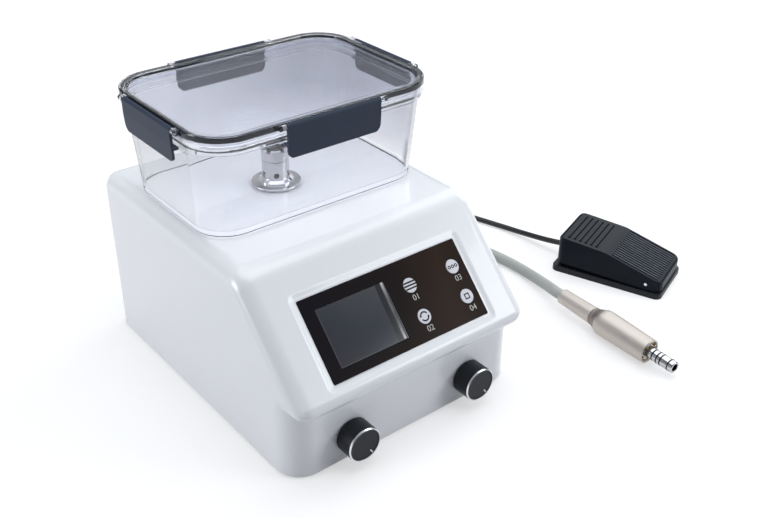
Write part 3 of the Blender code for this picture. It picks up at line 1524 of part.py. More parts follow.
def build_pedal():
    pedal = frame("pedal_frame", (pedal_x, pedal_y, 0), (0, 0, pedal_heading), unit)
    base_outline = rounded_rectangle((pedal_base_length / 2, pedal_base_width / 2), pedal_base_corner)
    base_mesh = slab("pedal_base", base_outline, pedal_base_height)
    base = piece("pedal_base", base_mesh, black_plastic, pedal, (0, 0, pedal_base_height / 2))
    low = pedal_base_height / 2
    upstand_high = (upstand_front, upstand_half_width, upstand_top)
    upstand = box_between((upstand_back, -upstand_half_width, low), upstand_high)
    join(base, helper("upstand", boxes("upstand", upstand), pedal))
    block = box_between(
        (upstand_back, -cable_block_width / 2, low),
        (upstand_back + cable_block_length, cable_block_width / 2, cable_block_top),
    )
    inner_half = upstand_half_width - upstand_wall
    room = box_between(
        (upstand_back + upstand_wall, -inner_half, pedal_base_height),
        (upstand_front - upstand_wall, inner_half, lug_top + overrun),
    )
    cut(base, helper("upstand_room", boxes("upstand_room", room), pedal))
    lugs = [
        box_between(
            (pedal_pin_a - lug_half_length, min(side * inner_half, side * upstand_half_width), low),
            (pedal_pin_a + lug_half_length, max(side * inner_half, side * upstand_half_width), lug_top),
        )
        for side in (-1, 1)
    ]
    join(base, helper("pin_lugs", boxes("pin_lugs", *lugs), pedal))
    join(base, helper("cable_block", boxes("cable_block", block), pedal))
    post_length = spring_post_height + low
    post_z = pedal_base_height + spring_post_height - post_length / 2
    post = rods("spring_post", spring_post_radius, post_length, [(spring_a, 0, post_z)], sides=hole_sides)
    join(base, helper("spring_post", post, pedal))
    socket_end = upstand_back + cable_in_block
    socket_length = cable_in_block + overrun
    socket_middle = (socket_end - socket_length / 2, 0, cable_in_pedal_z)
    socket = rods("cable_socket", cable_bore, socket_length, [socket_middle], "X", small_round_sides)
    cut(base, helper("cable_socket", socket, pedal))
    pin_bore = pedal_pin_radius + fit_gap
    pin_middle = (pedal_pin_a, 0, pedal_pin_z)
    lug_bore = rods("lug_bore", pin_bore, 2 * pedal_cover_width, [pin_middle], "Y", small_round_sides)
    cut(base, helper("lug_bore", lug_bore, pedal))

    corners = [
        (pedal_front, edge_height(pedal_front)),
        (pedal_front, pedal_front_top),
        (pedal_break, pedal_break_top),
        (pedal_back, pedal_back_top),
        (pedal_back, edge_height(pedal_back)),
        (pedal_pin_a, edge_height(pedal_pin_a)),
    ]
    rounds = [pedal_foot_round, pedal_front_round, pedal_break_round, pedal_back_round, pedal_foot_round, 0]
    outline = filleted(corners, rounds, [1, 3, 3, 4, 1, 0])
    cover_axis = frame("pedal_axis", pin_middle, (0, 0, 0), pedal)
    back_to_pedal = (-pedal_pin_a, 0, -pedal_pin_z)
    cover_mesh = slab("pedal_cover", outline, pedal_cover_width, "XZ")
    shape = bmesh.new()
    shape.from_mesh(cover_mesh)
    bmesh.ops.translate(shape, vec=back_to_pedal, verts=shape.verts)
    bmesh.ops.dissolve_limit(shape, angle_limit=radians(1), verts=shape.verts, edges=shape.edges)
    shape.to_mesh(cover_mesh)
    shape.free()
    cover = piece("pedal_cover", cover_mesh, black_plastic, cover_axis)
    bevel(cover, pedal_edge_round, angle=pedal_edge_angle)
    inner_corners = moved_in(corners, [pedal_wall, pedal_wall, pedal_wall, pedal_wall, -overrun, -overrun])
    inner_rounds = [0, least_round, pedal_break_round, pedal_back_round - pedal_wall, 0, 0]
    inner_outline = filleted(inner_corners, inner_rounds, [0, 2, 2, 3, 0, 0])
    inner_mesh = slab("cover_inside", inner_outline, pedal_cover_width - 2 * pedal_wall, "XZ")
    cut(cover, helper("cover_inside", inner_mesh, pedal))
    plunger_top = pedal_base_height + fit_gap + switch_size[2] + switch_plunger[2]
    actuator_low = plunger_top + actuator_gap
    switch_a, switch_b = switch_place
    slope_at_switch = (pedal_break_top - pedal_front_top) / (pedal_front - pedal_break)
    roof_drop = (switch_a + actuator_size - pedal_break) * slope_at_switch
    actuator_high = pedal_break_top - roof_drop - pedal_wall / 2
    actuator = box_between(
        (switch_a - actuator_size / 2, switch_b - actuator_size / 2, actuator_low),
        (switch_a + actuator_size / 2, switch_b + actuator_size / 2, actuator_high),
    )
    join(cover, helper("switch_actuator", boxes("switch_actuator", actuator), pedal))
    notch = box_between(
        (pedal_back - overrun, -cable_notch_width / 2, 0),
        (pedal_back + pedal_wall + overrun, cable_notch_width / 2, cable_notch_top),
    )
    cut(cover, helper("cable_notch", boxes("cable_notch", notch), pedal))
    cover_bore = rods("cover_bore", pin_bore, 2 * pedal_cover_width, [pin_middle], "Y", small_round_sides)
    cut(cover, helper("cover_bore", cover_bore, pedal))

    rear_fall = atan2(pedal_back_top - pedal_break_top, pedal_break - pedal_back)
    grooves = [
        ((pedal_groove_width, pedal_groove_length, 2 * pedal_groove_depth), (a - pedal_back, 0, 0))
        for a in [pedal_groove_first + pedal_groove_pitch * i for i in range(pedal_grooves)]
    ]
    groove_mesh = boxes("cover_grooves", *grooves)
    cut(
        cover,
        helper("cover_grooves", groove_mesh, pedal, (pedal_back, 0, pedal_back_top), (0, rear_fall, 0)),
    )
    front_fall = atan2(pedal_break_top - pedal_front_top, pedal_front - pedal_break)
    rib_pitch = pedal_rib_span / (pedal_ribs - 1)
    rib_length = (pedal_rib_to - pedal_rib_from) / cos(front_fall)
    rib_middle = (pedal_rib_from + pedal_rib_to) / 2
    rib_from_break = (rib_middle - pedal_break) / cos(front_fall)
    rib_size = (rib_length, pedal_rib_groove, 2 * pedal_rib_depth)
    rib_sides = [rib_pitch * i - pedal_rib_span / 2 for i in range(pedal_ribs)]
    flutes = [(rib_size, (rib_from_break, b, 0)) for b in rib_sides]
    flute_mesh = boxes("cover_flutes", *flutes)
    cut(
        cover,
        helper("cover_flutes", flute_mesh, pedal, (pedal_break, 0, pedal_break_top), (0, front_fall, 0)),
    )

    pin_mesh = rods("pedal_pin", pedal_pin_radius, pedal_cover_width, [pin_middle], "Y", hole_sides)
    piece("pedal_pin", pin_mesh, chrome, pedal)

    spring_bottom = pedal_base_height + fit_gap + spring_wire_radius
    roof_at_spring = pedal_back_top - (spring_a + spring_coil_radius - pedal_back) * tan(rear_fall)
    spring_top = roof_at_spring - pedal_wall / cos(rear_fall) - fit_gap - 2 * spring_wire_radius
    count = spring_turns * spring_points
    spring_path = [
        (
            spring_a + spring_coil_radius * cos(2 * pi * step / spring_points),
            spring_coil_radius * sin(2 * pi * step / spring_points),
            spring_bottom + (spring_top - spring_bottom) * step / count,
        )
        for step in range(count + 1)
    ]
    tube("pedal_spring", spring_path, spring_wire_radius, steel, pedal, 0)
    spring_gap = least_gap(spring_path, spring_wire_radius, spring_points)
    print(f"pedal_spring least self gap {spring_gap * 1000:.2f} mm, wanted over {least_self_gap * 1000:.2f}")

    body_box = on_floor(switch_size, switch_a, switch_b, pedal_base_height + fit_gap)
    switch = piece("micro_switch", boxes("micro_switch", body_box), black_plastic, pedal)
    plunger_low = pedal_base_height + fit_gap + switch_size[2] / 2
    plunger_size = (switch_plunger[0], switch_plunger[1], plunger_top - plunger_low)
    plunger = boxes("switch_plunger", on_floor(plunger_size, switch_a, switch_b, plunger_low))
    join(switch, helper("switch_plunger", plunger, pedal))
    return pedal


def lay_cord(name, radius, step, material, lead, coil, rest):
    """The free stretches and the coil of one cord, with its whole length printed."""
    coil_points, into, out = coil
    straight = 2 * radius + fit_gap
    start = np.array(coil_points[0])
    end = np.array(coil_points[-1])
    lead = lead + [tuple(start - into * straight), tuple(start - into * fit_gap)]
    rest = [tuple(end + out * fit_gap), tuple(end + out * straight)] + rest
    lead_points, rest_points = (
        [ends[0]] + smooth_path(ends[1:-1], step) + [ends[-1]] for ends in (lead, rest)
    )
    tube(f"{name}_lead", lead_points, radius, material, unit, cord_resolution)
    tube(f"{name}_coil", coil_points, radius, material, unit, coil_resolution)
    tube(name, rest_points, radius, material, unit, cord_resolution)
    gap_found = least_gap(coil_points, radius, coil_loop_points)
    lengths = [path_length(points) for points in (lead_points, coil_points, rest_points)]
    print(f"{name}_coil least self gap {gap_found * 1000:.2f} mm, wanted over {least_self_gap * 1000:.2f}")
    print(f"{name} lead, coil, rest and whole: {[round(size, 4) for size in lengths + [sum(lengths)]]} m")


def build_cords(motor_axis, pedal, hose_start, hose_tip, cable_start, cable_tip):
    bpy.context.view_layer.update()
    hose_coil_x = hose_gland_x + hose_coil_radius + hose_coil_pitch * hose_coil_turns / 4
    hose_coil = coil_path(
        (hose_coil_x, back_y + hose_coil_behind),
        hose_coil_turns,
        hose_coil_radius,
        hose_coil_pitch,
        hose_coil_rise,
        hose_radius,
        pi,
    )
    tail = motor_axis.matrix_world
    hose_end = tail @ Vector((0, 0, hose_in_sleeve - fit_gap))
    hose_mouth = tail @ Vector((0, 0, 0))
    hose_behind = tail @ Vector((0, 0, -2 * hose_radius))
    hose_lead = [tuple(hose_start), tuple(hose_tip)] + hose_lead_route
    hose_rest = hose_route + [tuple(hose_behind), tuple(hose_mouth), tuple(hose_end)]
    lay_cord("hose", hose_radius, hose_point_spacing, grey_hose, hose_lead, hose_coil, hose_rest)

    cable_coil_x = cable_gland_x + cable_coil_radius + cable_coil_pitch * cable_coil_turns / 4
    cable_coil = coil_path(
        (cable_coil_x, back_y + cable_coil_behind),
        cable_coil_turns,
        cable_coil_radius,
        cable_coil_pitch,
        cable_coil_rise,
        cable_radius,
        pi,
    )
    into_pedal = pedal.matrix_world
    cable_end = into_pedal @ Vector((upstand_back + cable_in_block - fit_gap, 0, cable_in_pedal_z))
    cable_mouth = into_pedal @ Vector((upstand_back, 0, cable_in_pedal_z))
    cable_behind = into_pedal @ Vector((pedal_back - 2 * cable_radius, 0, cable_in_pedal_z))
    cable_lead = [tuple(cable_start), tuple(cable_tip)] + cable_lead_route
    cable_rest = cable_route + [tuple(cable_behind), tuple(cable_mouth), tuple(cable_end)]
    lay_cord("cable", cable_radius, cable_point_spacing, black_plastic, cable_lead, cable_coil, cable_rest)


def centre_footprint():
    """Moves the set so that the box round everything but the cords is centred over the origin."""
    bpy.context.view_layer.update()
    graph = bpy.context.evaluated_depsgraph_get()
    cords = {f"{cord}{stretch}" for cord in ("hose", "cable") for stretch in ("", "_lead", "_coil")}
    corners = []
    for made in pieces.objects:
        if made.type != "EMPTY" and made.name not in cords:
            evaluated = made.evaluated_get(graph)
            corners += [evaluated.matrix_world @ point.co for point in evaluated.to_mesh().vertices]
            evaluated.to_mesh_clear()
    low = [min(corner[axis] for corner in corners) for axis in range(3)]
    high = [max(corner[axis] for corner in corners) for axis in range(3)]
    unit.location = (-(low[0] + high[0]) / 2, -(low[1] + high[1]) / 2, 0)
    print(f"control unit's middle at {unit.location.x:.6f}, {unit.location.y:.6f}, lowest {low[2]:.6f}")


build_housing()
build_base()
build_panel()
build_knobs()
build_inside()
build_inlet()
hose_ends = build_gland(
    "hose_gland",
    hose_gland_frame,
    hose_boot_length,
    hose_boot_wall,
    hose_boot_root,
    hose_gland_flange,
    hose_gland_neck,
    hose_gland_lip,
    hose_bore,
    hose_core_radius,
)
cable_ends = build_gland(
    "cable_gland",
    cable_gland_frame,
    cable_boot_length,
    cable_boot_wall,
    cable_boot_root,
    cable_gland_flange,
    cable_gland_neck,
    cable_gland_lip,
    cable_bore,
    cable_core_radius,
)
build_tank()
build_column()
build_lid()
motor = build_motor()
foot_switch = build_pedal()
build_cords(motor, foot_switch, *hose_ends, *cable_ends)
centre_footprint()
print(f"rocker tilt {degrees(rocker_tilt):.1f} degrees, pedal press {degrees(pedal_press):.1f} degrees")
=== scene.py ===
# The looks of a desktop dental micromotor: control unit with its clear water tank, motor on a hose
# and foot switch on a cable. Metres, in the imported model's own frame.
from math import asin, atan2, ceil, cos, pi, radians, sin, tan

import bmesh
import bpy
from mathutils import Euler, Matrix, Vector


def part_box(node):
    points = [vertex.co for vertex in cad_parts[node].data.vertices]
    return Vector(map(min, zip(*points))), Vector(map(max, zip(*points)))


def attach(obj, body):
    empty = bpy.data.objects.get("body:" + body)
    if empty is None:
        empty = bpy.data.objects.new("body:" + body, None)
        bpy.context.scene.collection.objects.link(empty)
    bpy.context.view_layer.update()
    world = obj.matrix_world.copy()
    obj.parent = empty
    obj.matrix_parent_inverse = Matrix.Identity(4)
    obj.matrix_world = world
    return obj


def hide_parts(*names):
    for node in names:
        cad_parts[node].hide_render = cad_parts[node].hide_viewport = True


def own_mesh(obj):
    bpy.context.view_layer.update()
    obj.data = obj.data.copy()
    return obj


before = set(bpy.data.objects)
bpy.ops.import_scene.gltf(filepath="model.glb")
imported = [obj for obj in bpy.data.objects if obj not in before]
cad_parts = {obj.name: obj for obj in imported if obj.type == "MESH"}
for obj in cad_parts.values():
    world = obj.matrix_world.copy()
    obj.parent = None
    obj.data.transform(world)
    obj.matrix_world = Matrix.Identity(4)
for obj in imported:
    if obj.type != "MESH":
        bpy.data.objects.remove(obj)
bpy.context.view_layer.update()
print("frame loaded")


def shift(x=0, y=0, z=0):
    return Matrix.Translation((x, y, z))


def turned(angle, axis="Z"):
    return Matrix.Rotation(angle, 4, axis)


def pick(piece, words):
    return [piece[word] for word in words.split()]


# The control unit's middle on the floor. Places below are measured from it.
shellLow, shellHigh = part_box("housing_shell")
unit = dict(width=0.205, depth=0.256, top=0.138)
home = Vector(((shellLow.x + shellHigh.x) / 2, shellHigh.y - unit["depth"] / 2, 0))
atHome = shift(*home)


def summing(operation, swapped=False):
    def made(self, other=0.0):
        first, second = (other, self) if swapped else (self, other)
        return self.tree.node("Math", {"operation": operation}, {0: first, 1: second})
    return made


class Wire:
    # a shader socket that takes part in sums
    def __init__(self, tree, socket):
        self.tree, self.socket = tree, socket

    __add__, __sub__, __mul__ = summing("ADD"), summing("SUBTRACT"), summing("MULTIPLY")
    __radd__, __rsub__, __rmul__ = summing("ADD", True), summing("SUBTRACT", True), summing("MULTIPLY", True)
    __gt__, __lt__ = summing("GREATER_THAN"), summing("LESS_THAN")
    high, low, size = summing("MAXIMUM"), summing("MINIMUM"), summing("ABSOLUTE")


class Tree:
    # a shader tree that makes its own nodes
    def __init__(self, holder):
        holder.use_nodes = True
        self.tree = holder.node_tree

    def node(self, kind, settings=None, inputs=None, output=0):
        made = self.tree.nodes.new("ShaderNode" + kind)
        for key, value in (settings or {}).items():
            if key == "stops":
                for stop in range(len(value) - 2):
                    made.color_ramp.elements.new(0.5)
                for stop, (place, colour) in zip(made.color_ramp.elements, value):
                    stop.position = place
                    stop.color = (*colour, 1)
            else:
                setattr(made, key, value)
        for key, value in (inputs or {}).items():
            self.put(made.inputs[key], value)
        return Wire(self, made.outputs[output])

    def put(self, socket, value):
        if isinstance(value, Wire):
            self.tree.links.new(value.socket, socket)
        elif socket.type == "RGBA":
            socket.default_value = (*value, 1)
        else:
            socket.default_value = value

    def show(self, wire, output="Material Output"):
        self.put(self.tree.nodes[output].inputs[0], wire)

    def mixed(self, share, first, second):
        return self.node("MixShader", {}, {0: share, 1: first, 2: second})

    def ray(self, kind):
        return self.node("LightPath", output=f"Is {kind} Ray")


class Paint(Tree):
    # a material with one Principled shader
    def __init__(self, name, colour, roughness=0.4, metallic=0.0, **fixed):
        self.material = bpy.data.materials.new(name)
        super().__init__(self.material)
        self.shader = self.tree.nodes["Principled BSDF"]
        self.solid = Wire(self, self.shader.outputs[0])
        self.places = self.node("TexCoord", output="Object")
        self.feed(Base_Color=colour, Roughness=roughness, Metallic=metallic, **fixed)

    def feed(self, **values):
        for key, value in values.items():
            self.put(self.shader.inputs[key.replace("_", " ")], value)

    def moved(self, middle=(0, 0, 0), turn=(0, 0, 0), stretch=None):
        # coordinates about a middle, turned back by an object's turn and stretched
        back = Euler(turn).to_matrix().inverted()
        place = -(back @ Vector(middle))
        near = self.node("Mapping", {}, {"Vector": self.places, "Rotation": back.to_euler(), "Location": place})
        return self.node("Mapping", {}, {"Vector": near, "Scale": stretch}) if stretch else near

    def split(self, vector):
        made = self.node("SeparateXYZ", {}, {0: vector}).socket.node
        return [Wire(self, socket) for socket in made.outputs]

    def reach(self, vector):
        return self.node("VectorMath", {"operation": "LENGTH"}, {0: vector}, 1)

    def noise(self, scale, detail=3.0, rough=0.5, vector=None):
        inputs = {"Vector": vector or self.places, "Scale": scale, "Detail": detail, "Roughness": rough}
        return self.node("TexNoise", {}, inputs)

    def lines(self, along, scale, detail):
        return self.node("TexNoise", {"noise_dimensions": "1D"}, {"W": along, "Scale": scale, "Detail": detail})

    def blend(self, share, first, second):
        return self.node("Mix", {"data_type": "RGBA"}, {0: share, 6: first, 7: second}, 2)

    def ramp(self, value, *stops):
        return self.node("ValToRGB", {"stops": stops}, {0: value})

    def grazing(self):
        # 1 where a clear wall is seen edge on, where painted shade darkens it
        facing = self.node("LayerWeight", {}, {"Blend": 0.42}, "Facing")
        return self.ramp(facing, (0.45, (0, 0, 0)), (1.0, (1, 1, 1)))

    def bump(self, height, strength, distance):
        inputs = {"Height": height, "Strength": strength, "Distance": distance}
        self.feed(Normal=self.node("Bump", {}, inputs))

    def window(self, tint):
        return self.node("BsdfTransparent", {}, {"Color": tint})

    def lit(self, tint):
        # lets the lamps through to what is behind it
        return self.mixed(self.ray("Shadow"), self.solid, self.window(tint))


def shade(colour, share):
    return tuple(part * share for part in colour)


def plastic(name, colour, roughness, grain=0.02, grainScale=900.0, mottle=0.04, scuff=0.08, **fixed):
    # moulded plastic: slight mottling, uneven gloss, fine grain in its skin
    paint = Paint(name, colour, roughness, **fixed)
    cloud, dust = paint.noise(38.0, 4.0), paint.noise(420.0, 5.0, 0.6)
    paint.feed(
        Base_Color=paint.blend(cloud, shade(colour, 1 - mottle), shade(colour, 1 + mottle / 2)),
        Roughness=roughness + (cloud * 0.6 + dust * 0.4 - 0.5) * scuff,
    )
    paint.bump(paint.noise(grainScale, 3.0) + cloud * 0.5, grain, 0.0004)
    return paint


def metal(name, colour, roughness, stretch=None):
    # turned or drawn metal: streaks run along the stretched axis
    paint = Paint(name, colour, roughness, 1.0)
    grain = paint.noise(160.0, 6.0, 0.65, paint.moved(stretch=stretch))
    smudge = paint.noise(60.0, 3.0)
    paint.feed(
        Base_Color=paint.blend(smudge, shade(colour, 0.92), shade(colour, 1.04)),
        Roughness=roughness + (grain - 0.5) * 0.3 * roughness + (smudge - 0.5) * 0.12,
    )
    paint.bump(grain, 0.05, 0.0003)
    return paint


def rubber(name, colour, roughness, sheen=0.1, **fixed):
    paint = Paint(name, colour, roughness, Sheen_Weight=sheen, **fixed)
    cloud, fine = paint.noise(55.0, 4.0), paint.noise(700.0, 4.0, 0.6)
    paint.feed(
        Base_Color=paint.blend(cloud, shade(colour, 0.9), shade(colour, 1.15)),
        Roughness=roughness + (fine - 0.5) * 0.16,
    )
    paint.bump(fine, 0.12, 0.0002)
    return paint


def glassy(name, colour, **fixed):
    return Paint(name, colour, 0.02, Transmission_Weight=1.0, IOR=1.46, **fixed)


def clear(name, colour, edge, **fixed):
    # clear plastic with painted shade: its colour darker where the eye grazes it
    paint = glassy(name, colour, **fixed)
    haze = paint.noise(45.0, 3.0)
    paint.feed(Base_Color=paint.blend(paint.grazing(), colour, shade(colour, edge)), Roughness=0.02 + haze * 0.02)
    paint.bump(paint.noise(14.0, 2.0), 0.02, 0.0006)
    paint.show(paint.lit((0.975, 0.975, 0.975)))
    return paint


# Finishes
whiteShell = plastic("white_shell", (0.83, 0.845, 0.88), 0.24, 0.03, 260.0, 0.012, 0.06, Coat_Weight=0.3)
keyFace = plastic("key_face", (0.66, 0.66, 0.72), 0.4, 0.03)
keyInk = plastic("key_ink", (0.012, 0.011, 0.014), 0.5, Specular_IOR_Level=0.2)
labelInk = plastic("label_ink", (0.5, 0.49, 0.49), 0.5)
tickWhite = plastic("tick_white", (0.95, 0.96, 0.97), 0.4)
brightRing = metal("bright_ring", (0.8, 0.81, 0.84), 0.3)
lidClear = clear("lid_clear", (0.92, 0.93, 0.965), 0.85, Specular_IOR_Level=0.2)
gasketDark = rubber("gasket_dark", (0.005, 0.007, 0.013), 0.6, 0.0, Specular_IOR_Level=0.08)
latchDark = plastic("latch_dark", (0.046, 0.058, 0.086), 0.38, 0.03, 800.0, Specular_IOR_Level=0.07)
columnSteel = metal("column_steel", (0.56, 0.56, 0.575), 0.13, (1, 1, 14))
plainSteel = metal("plain_steel", (0.62, 0.62, 0.63), 0.26)
sheetWhite = plastic("sheet_white", (0.62, 0.63, 0.64), 0.45)
footRubber = rubber("foot_rubber", (0.018, 0.018, 0.02), 0.75)
boardGreen = plastic("board_green", (0.012, 0.12, 0.05), 0.4)
supplyMetal = metal("supply_metal", (0.45, 0.46, 0.47), 0.4)
pumpMetal = metal("pump_metal", (0.36, 0.37, 0.38), 0.42)
potMetal = metal("pot_metal", (0.5, 0.5, 0.52), 0.35)
inletBlack = plastic("inlet_black", (0.013, 0.013, 0.015), 0.42, 0.06, Specular_IOR_Level=0.35)
bootRubber = rubber("boot_rubber", (0.016, 0.016, 0.018), 0.6, 0.0)
noseChrome = metal("nose_chrome", (0.52, 0.52, 0.53), 0.1)
contactGilt = metal("contact_gilt", (0.78, 0.58, 0.25), 0.2)
ringRubber = rubber("ring_rubber", (0.008, 0.008, 0.009), 0.4, 0.0)
hoseGrey = rubber("hose_grey", (0.385, 0.4, 0.378), 0.42, 0.15)
cableBlack = rubber("cable_black", (0.012, 0.013, 0.016), 0.4, 0.0)
baseBlack = plastic("base_black", (0.008, 0.01, 0.014), 0.4, 0.05, 1500.0, 0.06, 0.06, Specular_IOR_Level=0.3)
switchBlack = plastic("switch_black", (0.02, 0.018, 0.016), 0.5)
print("finishes made")

# Mesh helpers. Lengths are metres, and a piece is shaped in its own frame before it is put in place.
fit, over, hair = 0.0003, 0.002, 0.0001
merge = dict(lofted=0.0000005, spun=0.000002, shell=0.000005, text=0.000001)
sharpAngle = dict(piece=33.0, shell=28.0, node=32.0)


def bent(corners, closed=True, perTurn=8):
    # an outline through (x, y, radius) corners with an arc at each corner that has a radius
    points = []
    for i, (x, y, radius) in enumerate(corners):
        corner = Vector((x, y))
        isEnd = not closed and i in (0, len(corners) - 1)
        if not radius or isEnd:
            points.append((x, y))
            continue
        into = (corner - Vector(corners[i - 1][:2])).normalized()
        out = (Vector(corners[(i + 1) % len(corners)][:2]) - corner).normalized()
        turn = atan2(into.x * out.y - into.y * out.x, into.dot(out))
        centre = corner + (out - into).normalized() * radius / cos(turn / 2)
        spoke = corner - into * radius * tan(abs(turn) / 2) - centre
        steps = max(2, ceil(abs(turn) / (pi / 2) * perTurn - 0.01))
        for step in range(steps + 1):
            angle = turn * step / steps
            points.append((
                centre.x + spoke.x * cos(angle) - spoke.y * sin(angle),
                centre.y + spoke.x * sin(angle) + spoke.y * cos(angle),
            ))
    return points


def movedIn(corners, distances):
    # corners of an outline whose side from each corner to the next is moved in
    lines = []
    for i, corner in enumerate(corners):
        begin = Vector(corner)
        along = (Vector(corners[(i + 1) % len(corners)]) - begin).normalized()
        lines.append((begin + Vector((-along.y, along.x)) * distances[i], along))
    found = []
    for (first, alongFirst), (second, alongSecond) in zip(lines[-1:] + lines[:-1], lines):
        between = second - first
        crossing = alongFirst.x * alongSecond.y - alongFirst.y * alongSecond.x
        reach = (between.x * alongSecond.y - between.y * alongSecond.x) / crossing
        found.append(first + alongFirst * reach)
    return found


def roundedRectangle(half, corner, z=0.0, middle=(0, 0), perTurn=12):
    sides = ((1, 1), (-1, 1), (-1, -1), (1, -1))
    corners = [(middle[0] + a * half[0], middle[1] + b * half[1], corner) for a, b in sides]
    return [(x, y, z) for x, y in bent(corners, perTurn=perTurn)]


def smaller(half, amount):
    return half[0] - amount, half[1] - amount


def only(kind, parts):
    return [part for part in parts if isinstance(part, kind)]


def loft(rings, closeRound=False):
    # a skin grown from ring to ring, with the edges of each ring for bevels
    bm = bmesh.new()
    verts = [bm.verts.new(point) for point in rings[0]]
    loops = [[bm.edges.new(pair) for pair in zip(verts, verts[1:] + verts[:1])]]
    for ring in rings[1:] + (rings[:1] if closeRound else []):
        grown = bmesh.ops.extrude_edge_only(bm, edges=loops[-1])["geom"]
        fresh = set(only(bmesh.types.BMVert, grown))
        ends = [[edge.other_vert(vert) for edge in vert.link_edges] for vert in verts]
        verts = [next(end for end in found if end in fresh) for found in ends]
        for vert, point in zip(verts, ring):
            vert.co = point
        loops.append([edge for edge in only(bmesh.types.BMEdge, grown) if fresh.issuperset(edge.verts)])
    if closeRound:
        bmesh.ops.remove_doubles(bm, verts=bm.verts, dist=merge["lofted"])
    else:
        bmesh.ops.edgeloop_fill(bm, edges=loops[0])
        bmesh.ops.edgeloop_fill(bm, edges=loops[-1])
    bmesh.ops.recalc_face_normals(bm, faces=bm.faces)
    return bm, loops


def lofted(*rows, closeRound=False):
    # a loft through rounded rectangles, each with its half size, corner and height
    return loft([roundedRectangle(*row) for row in rows], closeRound)


def bevelEdges(bm, edges, width, segments=3):
    bmesh.ops.bevel(
        bm, geom=list(edges), offset=width, offset_type="OFFSET", segments=segments, profile=0.5,
        affect="EDGES", clamp_overlap=True, material=-1,
    )


def bevelSharp(bm, width, segments, least, above=None, reach=min):
    # rounds edges sharper than so many degrees, and only above a height where one is given
    edges = [edge for edge in bm.edges if len(edge.link_faces) == 2 and edge.calc_face_angle(0) > radians(least)]
    if above is not None:
        edges = [edge for edge in edges if reach(vert.co.z for vert in edge.verts) > above]
    bevelEdges(bm, edges, width, segments)


def spun(corners, sides=64, ring=True, perTurn=5):
    # a profile of (radius, height, rounding) corners turned about Z
    bm = bmesh.new()
    verts = [bm.verts.new((radius, 0, height)) for radius, height in bent(corners, ring, perTurn)]
    edges = [bm.edges.new(pair) for pair in zip(verts, verts[1:] + (verts[:1] if ring else []))]
    bmesh.ops.spin(
        bm, geom=verts + edges, cent=(0, 0, 0), axis=(0, 0, 1), angle=2 * pi, steps=sides,
        use_merge=True, use_duplicate=False,
    )
    bmesh.ops.remove_doubles(bm, verts=bm.verts, dist=merge["spun"])
    bmesh.ops.recalc_face_normals(bm, faces=bm.faces)
    return bm


def extruded(outline, low, high, axes="XY"):
    # a flat outline given thickness along the third axis
    bm = bmesh.new()
    face = bm.faces.new([bm.verts.new((*point[:2], low)) for point in outline])
    top = only(bmesh.types.BMVert, bmesh.ops.extrude_face_region(bm, geom=[face])["geom"])
    bmesh.ops.translate(bm, vec=(0, 0, high - low), verts=top)
    turns = {"XY": ((1, 0, 0), (0, 1, 0), (0, 0, 1)), "XZ": ((1, 0, 0), (0, 0, -1), (0, 1, 0)),
             "YZ": ((0, 0, 1), (1, 0, 0), (0, 1, 0))}
    bmesh.ops.transform(bm, matrix=Matrix(turns[axes]).to_4x4(), verts=bm.verts)
    bmesh.ops.recalc_face_normals(bm, faces=bm.faces)
    return bm


def block(low, high, width=0.0, segments=2):
    low, high = Vector(low), Vector(high)
    bm = bmesh.new()
    bmesh.ops.create_cube(bm, size=1, matrix=shift(*(low + high) / 2) @ Matrix.Diagonal((*(high - low), 1)))
    if width:
        bevelEdges(bm, bm.edges, width, segments)
    return bm


def slab(half, low, high, middle=(0, 0), width=0.0, segments=2):
    # a block of a half size about a middle, between two heights
    (x, y), (a, b) = middle, half
    return block((x - a, y - b, low), (x + a, y + b, high), width, segments)


def rod(radius, length, middle=(0, 0, 0), along="Z", sides=32):
    turns = {"X": turned(pi / 2, "Y"), "Y": turned(pi / 2, "X"), "Z": Matrix.Identity(4)}
    bm = bmesh.new()
    bmesh.ops.create_cone(
        bm, cap_ends=True, segments=sides, radius1=radius, radius2=radius, depth=length,
        matrix=shift(*middle) @ turns[along],
    )
    return bm


def moved(bm, matrix):
    bmesh.ops.transform(bm, matrix=matrix, verts=bm.verts)
    return bm


def meshOf(bm, name="work"):
    mesh = bpy.data.meshes.new(name)
    bm.to_mesh(mesh)
    bm.free()
    return mesh


def placed(name, data):
    made = bpy.data.objects.new(name, data)
    bpy.context.scene.collection.objects.link(made)
    return made


def together(*shapes, index=0):
    # several shapes in one mesh; those after the first take this material index
    whole = bmesh.new()
    for i, shape in enumerate(shapes):
        if i and index:
            for face in shape.faces:
                face.material_index = index
        mesh = meshOf(shape)
        whole.from_mesh(mesh)
        bpy.data.meshes.remove(mesh)
    return whole


def outcome(thing):
    # an object's mesh as its modifiers leave it
    mesh = bpy.data.meshes.new_from_object(thing.evaluated_get(bpy.context.evaluated_depsgraph_get()))
    result = bmesh.new()
    result.from_mesh(mesh)
    bpy.data.meshes.remove(mesh)
    return result


def worked(bm, *tools, operation="DIFFERENCE", wall=0.0):
    # the shape with a wall grown inwards, then cut by or joined with the tools
    made = []
    for shape in (bm, *tools):
        bmesh.ops.recalc_face_normals(shape, faces=shape.faces)
        made.append(placed("work", meshOf(shape)))
    if wall:
        grown = made[0].modifiers.new("wall", "SOLIDIFY")
        grown.thickness, grown.offset, grown.use_even_offset = wall, -1, True
    for tool in made[1:]:
        cut = made[0].modifiers.new("cut", "BOOLEAN")
        cut.operation, cut.object, cut.solver = operation, tool, "EXACT"
    result = outcome(made[0])
    for one in made:
        data = one.data
        bpy.data.objects.remove(one, do_unlink=True)
        bpy.data.meshes.remove(data)
    return result


